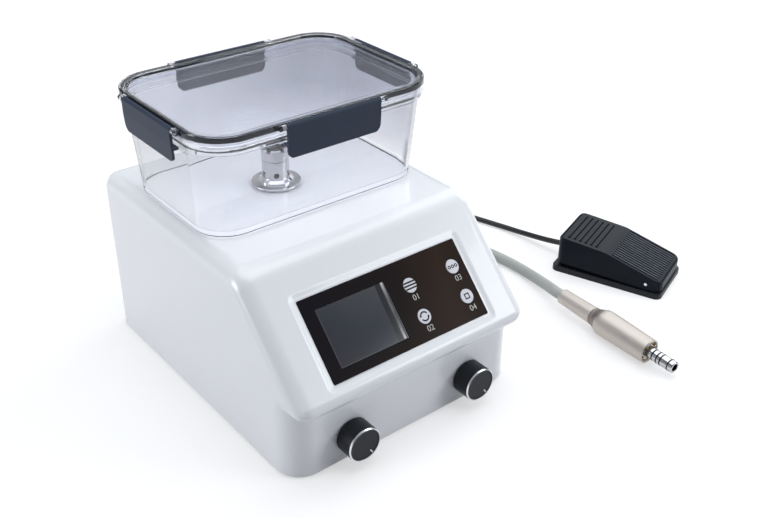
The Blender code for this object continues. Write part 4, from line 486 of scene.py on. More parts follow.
def addPiece(name, bm, paints, nodes, at, body="control_unit", sharp=sharpAngle["piece"]):
    mesh = meshOf(moved(bm, at), name)
    for paint in paints if isinstance(paints, list) else [paints]:
        mesh.materials.append(paint.material)
    mesh.shade_smooth()
    mesh.set_sharp_from_angle(angle=radians(sharp))
    made = placed(name, mesh)
    made.modifiers.new("even_normals", "WEIGHTED_NORMAL").keep_sharp = True
    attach(made, body)
    if nodes:
        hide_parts(*nodes)
    return made


# Cords first: the routes are those of the solids, in metres from the unit's middle
def smoothPath(points, spacing, steps=20):
    knots = [Vector(point) for point in points]
    knots = [knots[0] * 2 - knots[1]] + knots + [knots[-1] * 2 - knots[-2]]
    fine = []
    for before, start, end, after in zip(knots, knots[1:], knots[2:], knots[3:]):
        reach = (end - start).length
        leave = (end - before).normalized() * reach
        arrive = (after - start).normalized() * reach
        for step in range(steps):
            t = step / steps
            fine.append(
                start * (2 * t**3 - 3 * t**2 + 1) + leave * (t**3 - 2 * t**2 + t)
                + end * (3 * t**2 - 2 * t**3) + arrive * (t**3 - t**2)
            )
    fine.append(knots[-2])
    return evenPath(fine, spacing)


def evenPath(points, spacing):
    gone = [0.0]
    for first, second in zip(points, points[1:]):
        gone.append(gone[-1] + (second - first).length)
    count = ceil(gone[-1] / spacing)
    found = []
    here = 0
    for step in range(count + 1):
        station = gone[-1] * step / count
        while here < len(points) - 2 and gone[here + 1] < station:
            here += 1
        span = gone[here + 1] - gone[here]
        share = (station - gone[here]) / span if span else 0
        found.append(points[here].lerp(points[here + 1], min(max(share, 0), 1)))
    return found


def coilPath(coil, radius, perTurn=48):
    # flat clockwise coil of two layers: in on the floor, up one layer at its tightest, out again
    turns, rise = coil["turns"], coil["rise"]
    middleX, middleY = coil["middle"]
    count = round(turns * perTurn)
    points = []
    for step in range(count + 1):
        gone = 2 * pi * turns * step / count
        fromTightest = gone - 2 * pi * turns / 2
        reach = coil["radius"] + coil["pitch"] * (abs(fromTightest) / (2 * pi) - turns / 4)
        climb = min(max(fromTightest / pi + 0.5, 0), 1)
        height = radius + rise * climb**2 * (3 - 2 * climb)
        points.append(Vector((middleX + reach * cos(pi - gone), middleY + reach * sin(pi - gone), height)))
    return points


hose = dict(
    radius=0.00475,
    length=1.49,
    start=(0.065, 0.1348, 0.04),
    tip=(0.065, 0.1528, 0.04),
    lead=[
        (0.065, 0.168, 0.0385), (0.065, 0.18, 0.031), (0.065, 0.191, 0.02),
        (0.065, 0.202, 0.0105), (0.065, 0.212, 0.006),
    ],
    coil=dict(middle=(0.122625, 0.228), turns=3.5, radius=0.048, pitch=0.011, rise=0.0105),
    rest=[
        (0.1806, 0.199, 0.0149), (0.1822, 0.179, 0.011), (0.1852, 0.159, 0.0068),
        (0.189, 0.138, 0.0049), (0.1932, 0.114, 0.0049), (0.198, 0.086, 0.0049),
        (0.203, 0.057, 0.0049), (0.2082, 0.028, 0.0049), (0.2119, 0.006, 0.0049),
        (0.214, -0.012, 0.0049), (0.2141, -0.028, 0.0052), (0.2123, -0.044, 0.0064),
        (0.2091, -0.058, 0.0083), (0.2055, -0.07, 0.0105),
    ],
)
cable = dict(
    radius=0.0025,
    length=1.48,
    start=(-0.03, 0.1308, 0.03),
    tip=(-0.03, 0.1488, 0.03),
    lead=[
        (-0.03, 0.16, 0.029), (-0.03, 0.174, 0.025), (-0.03, 0.188, 0.0178),
        (-0.03, 0.202, 0.01), (-0.03, 0.216, 0.0046), (-0.03, 0.232, 0.0028),
        (-0.03, 0.248, 0.0028),
    ],
    coil=dict(middle=(0.0065875, 0.266), turns=4.25, radius=0.03, pitch=0.0062, rise=0.0059),
    rest=[
        (0.026, 0.3045, 0.0072), (0.048, 0.3075, 0.0042), (0.07, 0.311, 0.0028),
        (0.095, 0.314, 0.0028), (0.12, 0.315, 0.0028), (0.145, 0.313, 0.0028),
        (0.168, 0.307, 0.0028), (0.189, 0.296, 0.0028), (0.206, 0.279, 0.0028),
        (0.218, 0.256, 0.0028), (0.225, 0.23, 0.0028), (0.229, 0.202, 0.0028),
        (0.2325, 0.17, 0.0028), (0.236, 0.14, 0.0028), (0.241, 0.108, 0.0028),
        (0.2475, 0.08, 0.0028), (0.2545, 0.058, 0.0028), (0.26, 0.039, 0.0031),
        (0.2632, 0.02, 0.0047), (0.2645, 0.002, 0.0075), (0.266, -0.014, 0.0102),
    ],
)

# The motor's own frame: Z runs from its tail to its nose
motorDown, motorHeading = radians(1.291), radians(-91.85)
motorTurn = Euler((pi / 2 + motorDown, 0, motorHeading + pi / 2)).to_matrix().to_4x4()
atMotor = atHome @ shift(0.2014, -0.0899, 0.012618) @ motorTurn

# The foot switch's own frame: X runs from the cable to the toe
atPedal = atHome @ shift(0.2877, -0.0767) @ turned(radians(-69.38))


def layCord(name, cord, endPoints, paint, nodes):
    radius = cord["radius"]
    ends = [atHome.inverted() @ point for point in endPoints]
    knots = [cord["start"], cord["tip"]] + cord["lead"] + coilPath(cord["coil"], radius)[::4] + cord["rest"] + ends
    path = smoothPath(knots, radius * 0.8)
    curve = bpy.data.curves.new(name, "CURVE")
    curve.dimensions = "3D"
    curve.bevel_depth, curve.bevel_resolution, curve.use_fill_caps = radius, 6, True
    spline = curve.splines.new("POLY")
    spline.points.add(len(path) - 1)
    for point, place in zip(spline.points, path):
        place.z = max(place.z, radius + fit / 2)
        point.co = (*(home + place), 1)
    spline.use_smooth = True
    curve.materials.append(paint.material)
    made = placed(name, curve)
    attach(made, "control_unit")
    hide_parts(*nodes)
    return made


# Ties round the coils
ties = dict(width=0.006, thickness=0.0005)


def buildTie(name, cord, angle, paint):
    coil, radius, thickness = cord["coil"], cord["radius"], ties["thickness"]
    spread = coil["pitch"] * coil["turns"] / 4
    low, high = thickness + hair, 2 * radius + coil["rise"] + thickness
    inner = coil["radius"] - spread - radius - thickness
    outer = coil["radius"] + spread + radius + thickness
    middle = ((inner + outer) / 2, (low + high) / 2 - thickness / 2)
    half = ((outer - inner) / 2, (high - low + thickness) / 2)
    rings = []
    for offset, side in ((0, 1), (0, -1), (-thickness, -1), (-thickness, 1)):
        ring = roundedRectangle((half[0] + offset, half[1] + offset), radius + offset, 0, middle, 6)
        rings.append([(r, side * ties["width"] / 2, z) for r, z, _ in ring])
    buckleHalf = ties["width"] * 0.75
    buckle = block((outer - 0.004, -buckleHalf, high - 0.0035), (outer + 0.0009, buckleHalf, high + 0.0006), 0.0006)
    at = atHome @ shift(*coil["middle"]) @ turned(angle)
    return addPiece(name, together(loft(rings, True)[0], buckle), paint, (), at)


hoseTube = layCord(
    "motor_hose", hose, [atMotor @ Vector((0, 0, z)) for z in (-0.0095, 0, 0.0077)], hoseGrey,
    ["hose_lead", "hose_coil", "hose"],
)
cableTube = layCord(
    "pedal_cable", cable, [atPedal @ Vector((x, 0, 0.012)) for x in (-0.0533, -0.0445, -0.0398)], cableBlack,
    ["cable_lead", "cable_coil", "cable"],
)
hoseTie = buildTie("hose_tie", hose, radians(90), cableBlack)
cableTie = buildTie("cable_tie", cable, radians(-90), cableBlack)
print("cords laid")

# Control unit: a moulded shell, open below, with a hood over its front
housing = dict(
    bottom=0.0015, creaseFromFront=0.0591, slant=radians(46), underside=0.0546, wall=0.003,
    sideRound=0.012, frontRound=0.0195, backRound=0.012, creaseRound=0.024, lipRound=0.008,
    nookRound=0.003, leastRound=0.0022, sideSteps=12,
)
panel = dict(
    downSlope=0.0607, width=0.138, height=0.0603, corner=0.0012, thickness=0.0012, sink=0.0004,
    recessEdge=0.0064, recessFoot=0.0012, recessDepth=0.0009, recessCorner=0.006,
    windowSize=(0.0583, 0.0431), windowPlace=(-0.03005, -0.00085),
    boardSize=(0.13, 0.054, 0.0016), boardTop=-0.0053, edge=0.00018,
)
knobs = dict(
    x=0.0534, z=0.0214, radius=0.0133, standoff=0.0008, length=0.0152, hole=0.0048,
    seatRadius=0.012, seatDepth=0.0012, ringRadius=0.0132, ringProud=0.0002, ringChamfer=0.0007,
    dish=0.00025, shaftRadius=0.0029, shaftIn=0.0105,
    tickFrom=0.008, tickTo=0.0119, tickWidth=0.0009, tickTurn=radians(-56),
)
back = dict(
    inlet=(-0.06, 0.045), inletFlange=(0.031, 0.054, 0.0025), inletBody=(0.0264, 0.0464, 0.022),
    socket=(0.0225, 0.016, 0.0168), socketDrop=0.0115, socketChamfer=0.004,
    pins=((-0.007, -0.002), (0.0, 0.002), (0.007, -0.002)), pinSize=(0.002, 0.004, 0.009),
    rockerLift=0.0105, rockerWidth=0.013, rockerHalf=0.0093, rockerFront=0.0034,
    rockerDip=0.0026, rockerBack=(0.008, 0.0058), rockerTilt=radians(7), rockerClear=0.0006,
    markAt=0.0052, markHeight=0.00012, wellDepth=0.01,
    hoseGland=(0.065, 0.04), cableGland=(-0.03, 0.03),
)
frontY, backY, halfWidth = -unit["depth"] / 2, unit["depth"] / 2, unit["width"] / 2
slant = housing["slant"]
creaseY = frontY + housing["creaseFromFront"]
tipY = creaseY - (unit["top"] - housing["underside"]) / tan(slant)
panelY, panelZ = creaseY - panel["downSlope"] * cos(slant), unit["top"] - panel["downSlope"] * sin(slant)
atPanel = atHome @ shift(0, panelY, panelZ) @ turned(slant, "X")
facingBack = Matrix(((-1, 0, 0), (0, 0, 1), (0, 1, 0))).to_4x4()
filmHalf = (panel["width"] / 2, panel["height"] / 2)
windowHalf = (panel["windowSize"][0] / 2, panel["windowSize"][1] / 2)
sidesOfX = (("left", -knobs["x"]), ("right", knobs["x"]))


def onBack(place):
    return atHome @ shift(place[0], backY, place[1]) @ facingBack


def onFront(x):
    return atHome @ shift(x, frontY, knobs["z"]) @ turned(pi / 2, "X")


def paintFilm():
    # film: near black at the left, warmer and lighter to the right
    paint = Paint("panel_film", (0, 0, 0), 0.2, Specular_IOR_Level=0.03)
    x, y, z = paint.split(paint.moved(atPanel.translation, (slant, 0, 0)))
    across = x * (1 / panel["width"]) + 0.5
    share = across * 0.8 + paint.noise(24.0, 3.0) * 0.2 + y * -1.5
    colour = paint.ramp(
        share, (0.0, (0.0115, 0.0105, 0.0145)), (0.5, (0.017, 0.013, 0.013)),
        (0.75, (0.033, 0.0205, 0.0155)), (1.0, (0.015, 0.01, 0.009)),
    )
    paint.feed(Base_Color=colour, Roughness=0.17 + paint.noise(52.0, 4.0) * 0.07)
    paint.bump(paint.noise(300.0, 2.0), 0.008, 0.0003)
    return paint


def paintDisplay():
    # unlit screen: grey-blue, with painted reflection lighter at its top right, and the edge of its film at the
    # right with painted highlights
    paint = Paint("display_glass", (0, 0, 0), 0.14, Specular_IOR_Level=0.35)
    width, height = panel["windowSize"]
    middle = atPanel @ Vector((*panel["windowPlace"], 0))
    x, y, z = paint.split(paint.moved(middle, (slant, 0, 0)))
    u, v = x * (1 / width) + 0.5, y * (1 / height) + 0.5
    cloud = paint.noise(30.0, 3.0)
    # painted reflection: the screen lighter towards its top right
    share = v * 0.5 + u * 0.3 + cloud * 0.2 + (0.5 - v).high(0.0) * 0.25
    screenAndSheenGreys = (0.1, (0.036, 0.034, 0.042)), (0.5, (0.037, 0.041, 0.053)), (1.0, (0.08, 0.082, 0.088))
    glass = paint.ramp(share, *screenAndSheenGreys)
    film = (u - 0.5) * 1.0 + (0.5 - v) * 0.02
    isBand = (film > 0.355) * (film < 0.425)
    isStrip = (film > 0.437) * (film < 0.472)
    streak = paint.noise(220.0, 4.0, 0.6, paint.moved(middle, (slant, 0, 0), (3, 0.4, 1)))
    # painted highlight on the film's edge, brightest at its two ends
    ends = (v - 0.5).size() * 2.0
    stripHighlightShare = streak * 0.6 + ends * ends * ends * 0.55
    stripHighlight = paint.ramp(stripHighlightShare, (0.25, (0.075, 0.075, 0.08)), (0.85, (0.58, 0.57, 0.58)))
    isEdge = ((u - 0.5).size() > 0.489).high((v < 0.017))
    colour = paint.blend(isBand * 0.75, glass, (0.014, 0.013, 0.016))
    colour = paint.blend(isEdge * 0.7, paint.blend(isStrip, colour, stripHighlight), (0.17, 0.17, 0.18))
    paint.feed(Base_Color=colour, Roughness=0.1 + cloud * 0.06)
    paint.bump(streak, 0.01, 0.0002)
    return paint


def paintKnob(side, x):
    # turned plastic: fine rings about the knob's own axis
    paint = Paint(f"knob_black_{side}", (0.012, 0.0145, 0.02), 0.34, Specular_IOR_Level=0.22)
    rings = paint.lines(paint.reach(paint.moved(onFront(x).translation, (0, 0, 0), (1, 0, 1))), 2600.0, 2.0)
    cloud = paint.noise(60.0, 4.0)
    colour = paint.blend(cloud, (0.0105, 0.0125, 0.017), (0.0145, 0.017, 0.023))
    paint.feed(Base_Color=colour, Roughness=0.3 + rings * 0.1 + cloud * 0.05)
    paint.bump(rings + cloud * 0.3, 0.05, 0.0002)
    return paint


panelFilm = paintFilm()
displayGlass = paintDisplay()
knobPaints = {side: paintKnob(side, x) for side, x in sidesOfX}


def shellOutline(inset, frontInset):
    bottom, underside, top = housing["bottom"], housing["underside"], unit["top"]
    corners = movedIn(
        [(backY, bottom), (backY, top), (creaseY, top), (tipY, underside), (frontY, underside), (frontY, bottom)],
        [inset, inset, inset, inset, frontInset, 0],
    )
    backRound, creaseRound, lipRound, nookRound, least = pick(
        housing, "backRound creaseRound lipRound nookRound leastRound"
    )
    rounds = [0, *[max(width - inset, least) for width in (backRound, creaseRound, lipRound)], nookRound, 0]
    steps = {1: 12, 2: 24, 3: 12, 4: 6}
    points = []
    for i in range(6):
        if rounds[i]:
            around = [(*corners[i - 1], 0), (*corners[i], rounds[i]), (*corners[(i + 1) % 6], 0)]
            points += bent(around, False, steps[i])[1:-1]
        else:
            points.append(tuple(corners[i]))
    return points


def roundedOff(x, corner):
    past = max(x - (halfWidth - corner), 0)
    return corner - max(corner**2 - past**2, 0) ** 0.5


def buildHousing():
    corner, front, sideSteps, wall = pick(housing, "sideRound frontRound sideSteps wall")
    angles = [pi / 2 * step / sideSteps for step in range(1, sideSteps + 1)]
    right = [halfWidth - front + (front - corner) * step / 4 for step in range(5)]
    right += [halfWidth - corner + corner * sin(angle) for angle in angles]
    right = [(x, roundedOff(x, corner), roundedOff(x, front)) for x in right]
    across = [(-x, inset, frontInset) for x, inset, frontInset in reversed(right)] + right
    shell = loft([[(x, y, z) for y, z in shellOutline(inset, frontInset)] for x, inset, frontInset in across])[0]
    low = housing["bottom"] + hair
    under = [face for face in shell.faces if all(vert.co.z < low for vert in face.verts)]
    bmesh.ops.delete(shell, geom=under, context="FACES")

    edge, foot, edgeCorner, depth = pick(panel, "recessEdge recessFoot recessCorner recessDepth")
    footCorner = edgeCorner - (edge - foot)
    outer, inner = smaller(filmHalf, -edge), smaller(filmHalf, -foot)
    recess, steps = [], 8
    for step in range(steps + 1):
        share = step / steps
        rise = share**2 * (3 - 2 * share)
        half = (inner[0] + (outer[0] - inner[0]) * share, inner[1] + (outer[1] - inner[1]) * share)
        recess.append((half, footCorner + (edgeCorner - footCorner) * share, -depth * (1 - rise)))
    recess.append((smaller(outer, -0.0004), edgeCorner + 0.0004, over / 40))
    pocketFloor = -panel["sink"] - panel["thickness"] - fit
    pocket = [(smaller(filmHalf, -fit), panel["corner"], height) for height in (pocketFloor, over)]
    window = slab(windowHalf, -2 * wall, over, panel["windowPlace"])
    stems = [rod(keys["stem"] + fit, 4 * wall, (*place, -wall)) for place, _ in keys["places"].values()]
    toPanel = atHome.inverted() @ atPanel
    tools = [moved(tool, toPanel) for tool in (lofted(*recess)[0], lofted(*pocket)[0], window, *stems)]
    tools += [rod(knobs["hole"], 4 * wall, (x, frontY, knobs["z"]), "Y") for side, x in sidesOfX]
    tools.append(rod(column["shank"] + fit, 4 * wall, (column["x"], columnY, unit["top"])))
    for sizes, (x, z) in ((glands["hose"], back["hoseGland"]), (glands["cable"], back["cableGland"])):
        tools.append(rod(sizes["neck"] + fit, 4 * wall, (x, backY, z), "Y"))
    (x, z), (width, height, _) = pick(back, "inlet inletBody")
    a, b = width / 2 + fit, height / 2 + fit
    tools.append(block((x - a, backY - 2 * wall, z - b), (x + a, backY + over, z + b)))
    shell = worked(shell, *tools, wall=wall)
    bmesh.ops.remove_doubles(shell, verts=shell.verts, dist=merge["shell"])
    sharp = sharpAngle["shell"]
    addPiece("moulded_housing", shell, whiteShell, ["housing_shell"], atHome, sharp=sharp)


keys = dict(
    radius=0.0054, proud=0.0003, travel=0.0004, stem=0.0024, foot=0.0034, footThickness=0.0007,
    round=0.00015, inkHeight=0.00004, labelDrop=(0.0008, -0.0093), labelSize=0.0062,
    places=dict(
        key_mode=((0.0177, 0.0107), "01"), key_direction=((0.0175, -0.0133), "02"),
        key_air=((0.0579, 0.0112), "03"), key_memory=((0.0582, -0.0127), "04"),
    ),
)


def barsIcon(top, high):
    # three dark stripes right across a key
    bars = []
    reach = keys["radius"]
    for middle in (-0.0023, 0.0, 0.0023):
        outline = []
        for side in (1, -1):
            heights = [middle + 0.00058 * side * (1 - step / 3) for step in range(7)]
            outline += [(side * (reach**2 - y**2) ** 0.5 * 0.995, y) for y in heights]
        bars.append(extruded(outline, top, high))
    return bars


def arcBand(inner, outer, start, end, low, high, steps=24):
    angles = [start + (end - start) * step / steps for step in range(steps + 1)]
    outline = [(outer * cos(a), outer * sin(a)) for a in angles]
    outline += [(inner * cos(a), inner * sin(a)) for a in reversed(angles)]
    return extruded(outline, low, high)


def turnIcon(top, high):
    # two arrows that chase each other round the key
    shapes = []
    for turn in (0, pi):
        start, end = radians(28) + turn, radians(160) + turn
        shapes.append(arcBand(0.00265, 0.00375, start, end, top, high))
        corners = [turned(end) @ Vector(point) for point in ((0.00205, 0, 0), (0.00435, 0, 0), (0.0032, 0.0014, 0))]
        shapes.append(extruded(corners, top, high))
    return shapes


def dotsIcon(top, high):
    # three small rings in a row
    halves = [(x, half) for x in (-0.003, 0.0, 0.003) for half in (0, pi)]
    return [moved(arcBand(0.0006, 0.00135, half, half + pi, top, high, 14), shift(x)) for x, half in halves]


def squareIcon(top, high):
    half, width = 0.0022, 0.0009
    inner = half - width
    spans = ((-half, -half, half, -inner), (-half, inner, half, half), (-half, -inner, -inner, inner),
             (inner, -inner, half, inner))
    return [block((left, front, top), (right, rear, high)) for left, front, right, rear in spans]


def buildKeys():
    radius, stem, foot = pick(keys, "radius stem foot")
    top = keys["proud"] - panel["sink"]
    bottom = -panel["sink"] - panel["thickness"] + keys["travel"]
    footTop = -housing["wall"] - fit
    footLow = footTop - keys["footThickness"]
    icons = {"key_mode": barsIcon, "key_direction": turnIcon, "key_air": dotsIcon, "key_memory": squareIcon}
    for name, (place, _) in keys["places"].items():
        disc = spun([
            (0, top, 0), (radius, top, keys["round"]), (radius, bottom, 0), (stem, bottom, 0), (stem, footTop, 0),
            (foot, footTop, 0), (foot, footLow, 0), (0, footLow, 0),
        ], 48, ring=False)
        whole = together(disc, *icons[name](top, top + keys["inkHeight"]), index=1)
        at = atPanel @ shift(*place)
        addPiece(f"{name}_cap", whole, [keyFace, keyInk], [name], at, f"{name[4:]}_key")


def numeral(text, size, height, middle):
    curve = bpy.data.curves.new("numeral", "FONT")
    curve.body, curve.size, curve.extrude = text, size, height / 2
    curve.align_x = curve.align_y = "CENTER"
    holder = placed("numeral", curve)
    bm = outcome(holder)
    bpy.data.objects.remove(holder, do_unlink=True)
    bpy.data.curves.remove(curve)
    bmesh.ops.remove_doubles(bm, verts=bm.verts, dist=merge["text"])
    return moved(bm, shift(*middle))


def buildPanel():
    corner, thickness, boardTop = pick(panel, "corner thickness boardTop")
    front = -panel["sink"]
    plate = lofted((filmHalf, corner, front - thickness), (filmHalf, corner, front))[0]
    window = slab(windowHalf, front - 2 * thickness, over, panel["windowPlace"])
    places = keys["places"].values()
    holes = [rod(keys["radius"] + fit / 2, 4 * thickness, (*place, front), sides=48) for place, _ in places]
    plate = worked(plate, window, *holes)
    bevelSharp(plate, panel["edge"], 2, 60.0, front - hair)
    dropX, dropY = keys["labelDrop"]
    size, ink = pick(keys, "labelSize inkHeight")
    labels = [numeral(text, size, ink, (x + dropX, y + dropY, front + ink / 2)) for (x, y), text in places]
    whole = together(plate, *labels, index=1)
    addPiece("front_film", whole, [panelFilm, labelInk], ["display_panel"], atPanel)

    glass = slab(smaller(windowHalf, fit), boardTop - 0.0002, front - 0.0002, panel["windowPlace"], 0.00015)
    length, width, depth = panel["boardSize"]
    board = slab((length / 2, width / 2), boardTop - depth, boardTop, width=0.0001, segments=1)
    paints = [displayGlass, boardGreen]
    whole = together(glass, board, index=1)
    addPiece("display_screen", whole, paints, ["display_module"], atPanel)


def buildKnobs():
    radius, seatRadius, standoff, dish = pick(knobs, "radius seatRadius standoff dish")
    outer, chamfer, tickWidth = pick(knobs, "ringRadius ringChamfer tickWidth")
    face = standoff + knobs["length"]
    seat = face - knobs["seatDepth"]
    bore, boreEnd = knobs["shaftRadius"] + fit, standoff + knobs["shaftIn"] + fit
    front, tickLow = face + knobs["ringProud"], face - dish - 0.00005
    for side, x in sidesOfX:
        grip = spun([
            (0, face - dish, 0), (seatRadius - 0.0012, face - dish, 0.002), (seatRadius, face, 0.0002),
            (seatRadius, seat, 0), (radius, seat, 0.0003), (radius, standoff, 0.0007), (bore, standoff, 0.0002),
            (bore, boreEnd, 0), (0, boreEnd, 0),
        ], 72, ring=False)
        tickEnds = (knobs["tickFrom"], -tickWidth / 2, tickLow), (knobs["tickTo"], tickWidth / 2, tickLow + 0.00022)
        whole = together(grip, moved(block(*tickEnds, 0.00006, 1), turned(knobs["tickTurn"])), index=1)
        body, at, paints = f"{side}_knob", onFront(x), [knobPaints[side], tickWhite]
        addPiece(f"{side}_knob_grip", whole, paints, [f"knob_{side}"], at, body)
        ring = spun([
            (outer - chamfer, front, 0.0002), (outer, front - chamfer, 0.0002), (outer, seat + fit, 0.0001),
            (seatRadius + fit, seat + fit, 0), (seatRadius + fit, front, 0.00015),
        ], 96)
        addPiece(f"{side}_knob_ring", ring, brightRing, [f"knob_ring_{side}"], at, body)


# Water tank, its lid, gasket and latches, and the outlet column
tank = dict(
    fromBack=0.095, lidHalf=(0.0987, 0.0718), lidCorner=0.031, lipInset=0.0015, lipCorner=0.03,
    flangeReach=(0.0014, 0.0036), topCorner=0.0265, lean=(0.0038, 0.006), footCorner=0.026,
    footRound=0.0016, floorRound=0.0032, wall=0.0021, floor=0.0024,
    lipHeight=0.0652, lipThickness=0.0025, rimHeight=0.009, rimWall=0.0017, lidRise=0.0053,
    skirtGap=0.0024, skirtWall=0.0016, roof=0.0012, ringWidth=0.0057, recess=0.003, panel=0.0018,
    innerWall=0.0015, plugDepth=0.0083, gasketGrip=0.00004, gasketWidth=0.0008,
    edge=0.00045, line=(0.0004, 0.0015),
)
latches = dict(
    barrel=0.00215, out=0.00245, thickness=0.002, tail=0.0105, corner=0.006,
    longHalf=0.039, shortHalf=0.034, rib=0.002, lipGap=0.00035, bead=0.0008,
    pinRadius=0.001, pinLength=0.003, knuckle=0.006, root=0.0005, crown=0.001, sides=20,
)
column = dict(
    x=-0.0076, behind=-0.0077, radius=0.01035, flange=(0.0187, 0.0018), step=(0.013, 0.0033),
    neck=0.0053, seam=0.0199, height=0.0288, bore=0.0074, boreHeight=0.0041,
    spigotWall=0.0015, spigot=0.0055, holeRadius=0.00215, holeHeight=0.0091, drills=3,
    shank=0.009, shankDrop=0.0115, barb=(0.0045, 0.0035, 0.0135), drain=0.0022,
    slot=(0.0034, 0.0022), slots=3, seal=(0.0113, 0.0147, 0.0009),
)
tankY = backY - tank["fromBack"]
columnY = tankY + column["behind"]
tankBottom = unit["top"] + fit
tankFloorTop = tankBottom + tank["floor"]
lipZ = tankBottom + tank["lipHeight"]
lipTop, rimTop = lipZ + tank["lipThickness"], lipZ + tank["rimHeight"]
lidTop, skirtBottom = rimTop + tank["lidRise"], lipTop + tank["skirtGap"]
plugBottom, channelTop = lidTop - tank["plugDepth"], lidTop - tank["roof"]
lipHalf = smaller(tank["lidHalf"], tank["lipInset"])
topHalf = (lipHalf[0] - tank["flangeReach"][0], lipHalf[1] - tank["flangeReach"][1])
footHalf = (topHalf[0] - tank["lean"][0], topHalf[1] - tank["lean"][1])
skirt = (smaller(tank["lidHalf"], tank["skirtWall"]), tank["lidCorner"] - tank["skirtWall"])
hingeZ = lidTop - latches["barrel"]
atTank = atHome @ shift(0, tankY)
atColumn = atHome @ shift(column["x"], columnY)


def paintTank():
    # clear wall with painted shade: greyer where the eye grazes it, up its walls and at its rear and right, and a
    # dark line painted through its foot
    paint = glassy("tank_clear", (0.965, 0.972, 0.985))
    x, y, z = paint.split(paint.moved(atTank.translation + Vector((0, 0, tankBottom))))
    floor, lipHeight = tank["floor"], tank["lipHeight"]
    haze = paint.noise(45.0, 3.0)
    far = x * (0.9 / tank["lidHalf"][0]) + y * (0.5 / tank["lidHalf"][1]) + (haze - 0.5) * 0.2
    # painted shade: the clear wall greyer up its walls and towards its rear and right
    paintedShade = (far.high(0.0) * 0.75 + 0.25) * (z * (1 / lipHeight) * 1.3 + 0.12).low(1.0)
    colour = paint.ramp(
        paintedShade, (0.0, (0.945, 0.945, 0.95)), (0.35, (0.75, 0.755, 0.79)), (1.0, (0.52, 0.53, 0.575)),
    )
    # painted shade: near black where the eye grazes the wall below the lip
    edge = paint.grazing() * (z < lipHeight)
    paint.feed(Base_Color=paint.blend(edge, colour, (0.07, 0.072, 0.085)), Roughness=0.02 + haze * 0.02)
    paint.bump(paint.noise(14.0, 2.0), 0.02, 0.0006)
    isFloor = (z > floor - 0.0003) * (z < floor + 0.0003)
    isFoot = (z < floor + tank["floorRound"] * 0.9) - isFloor
    # painted shade: a thin dark line in the foot, which otherwise lets the eye straight through
    isLine = (z > tank["line"][0]) * (z < tank["line"][1])
    through = paint.mixed(isLine, paint.window((0.96, 0.96, 0.965)), paint.window((0.13, 0.135, 0.15)))
    solid = paint.lit((0.985, 0.985, 0.985))
    paint.show(paint.mixed(isFoot * (1.0 - paint.ray("Shadow")), solid, through))
    return paint


def paintLidPane():
    # smoky pane of the lid, darker towards its right end
    paint = glassy("lid_smoky", (0.5, 0.5, 0.56))
    x, y, z = paint.split(paint.moved(atTank.translation))
    haze = paint.noise(18.0, 3.0)
    share = x * (0.5 / tank["lidHalf"][0]) + 0.5 + (haze - 0.5) * 0.25
    colour = paint.ramp(share, (0.1, (0.78, 0.805, 0.89)), (1.0, (0.67, 0.695, 0.78)))
    paint.feed(Base_Color=colour, Roughness=0.02 + haze * 0.02)
    paint.bump(haze, 0.03, 0.0006)
    paint.show(paint.lit((0.975, 0.975, 0.98)))
    return paint


tankClear = paintTank()
lidSmoky = paintLidPane()


def buildTank():
    wall, edge, rimWall, skirtWall = pick(tank, "wall edge rimWall skirtWall")
    topCorner, footCorner, lipCorner = pick(tank, "topCorner footCorner lipCorner")
    rimHalf, rimCorner = smaller(tank["lidHalf"], skirtWall + fit), tank["lidCorner"] - skirtWall - fit
    rimInner = (smaller(rimHalf, rimWall), rimCorner - rimWall)
    shelf = lipTop - wall / 4
    bm, loops = lofted(
        (footHalf, footCorner, tankBottom), (topHalf, topCorner, lipZ), (lipHalf, lipCorner, lipZ),
        (lipHalf, lipCorner, lipTop), (rimHalf, rimCorner, lipTop), (rimHalf, rimCorner, rimTop),
        (*rimInner, rimTop), (*rimInner, shelf), (smaller(topHalf, wall), topCorner - wall, shelf),
        (smaller(footHalf, wall), footCorner - wall, tankFloorTop),
    )
    bevelEdges(bm, loops[0], tank["footRound"], 6)
    bevelEdges(bm, loops[9], tank["floorRound"], 7)
    for i, width in ((1, 0.0012), (2, edge), (3, edge), (5, 0.0004), (6, 0.0004), (8, edge)):
        bevelEdges(bm, loops[i], width)
    moved(bm, shift(0, tankY))
    hole = rod(column["shank"] + fit, 4 * tank["floor"], (column["x"], columnY, tankBottom), sides=48)
    addPiece("clear_tank", worked(bm, hole), tankClear, ["tank"], atHome)


def latchPlaces():
    outX, outY = smaller(tank["lidHalf"], -latches["out"])
    long, short = pick(latches, "longHalf shortHalf")
    return {
        "front": (shift(0, -outY, hingeZ) @ turned(pi), long), "back": (shift(0, outY, hingeZ) @ turned(0), long),
        "left": (shift(-outX, 0, hingeZ) @ turned(pi / 2), short),
        "right": (shift(outX, 0, hingeZ) @ turned(-pi / 2), short),
    }


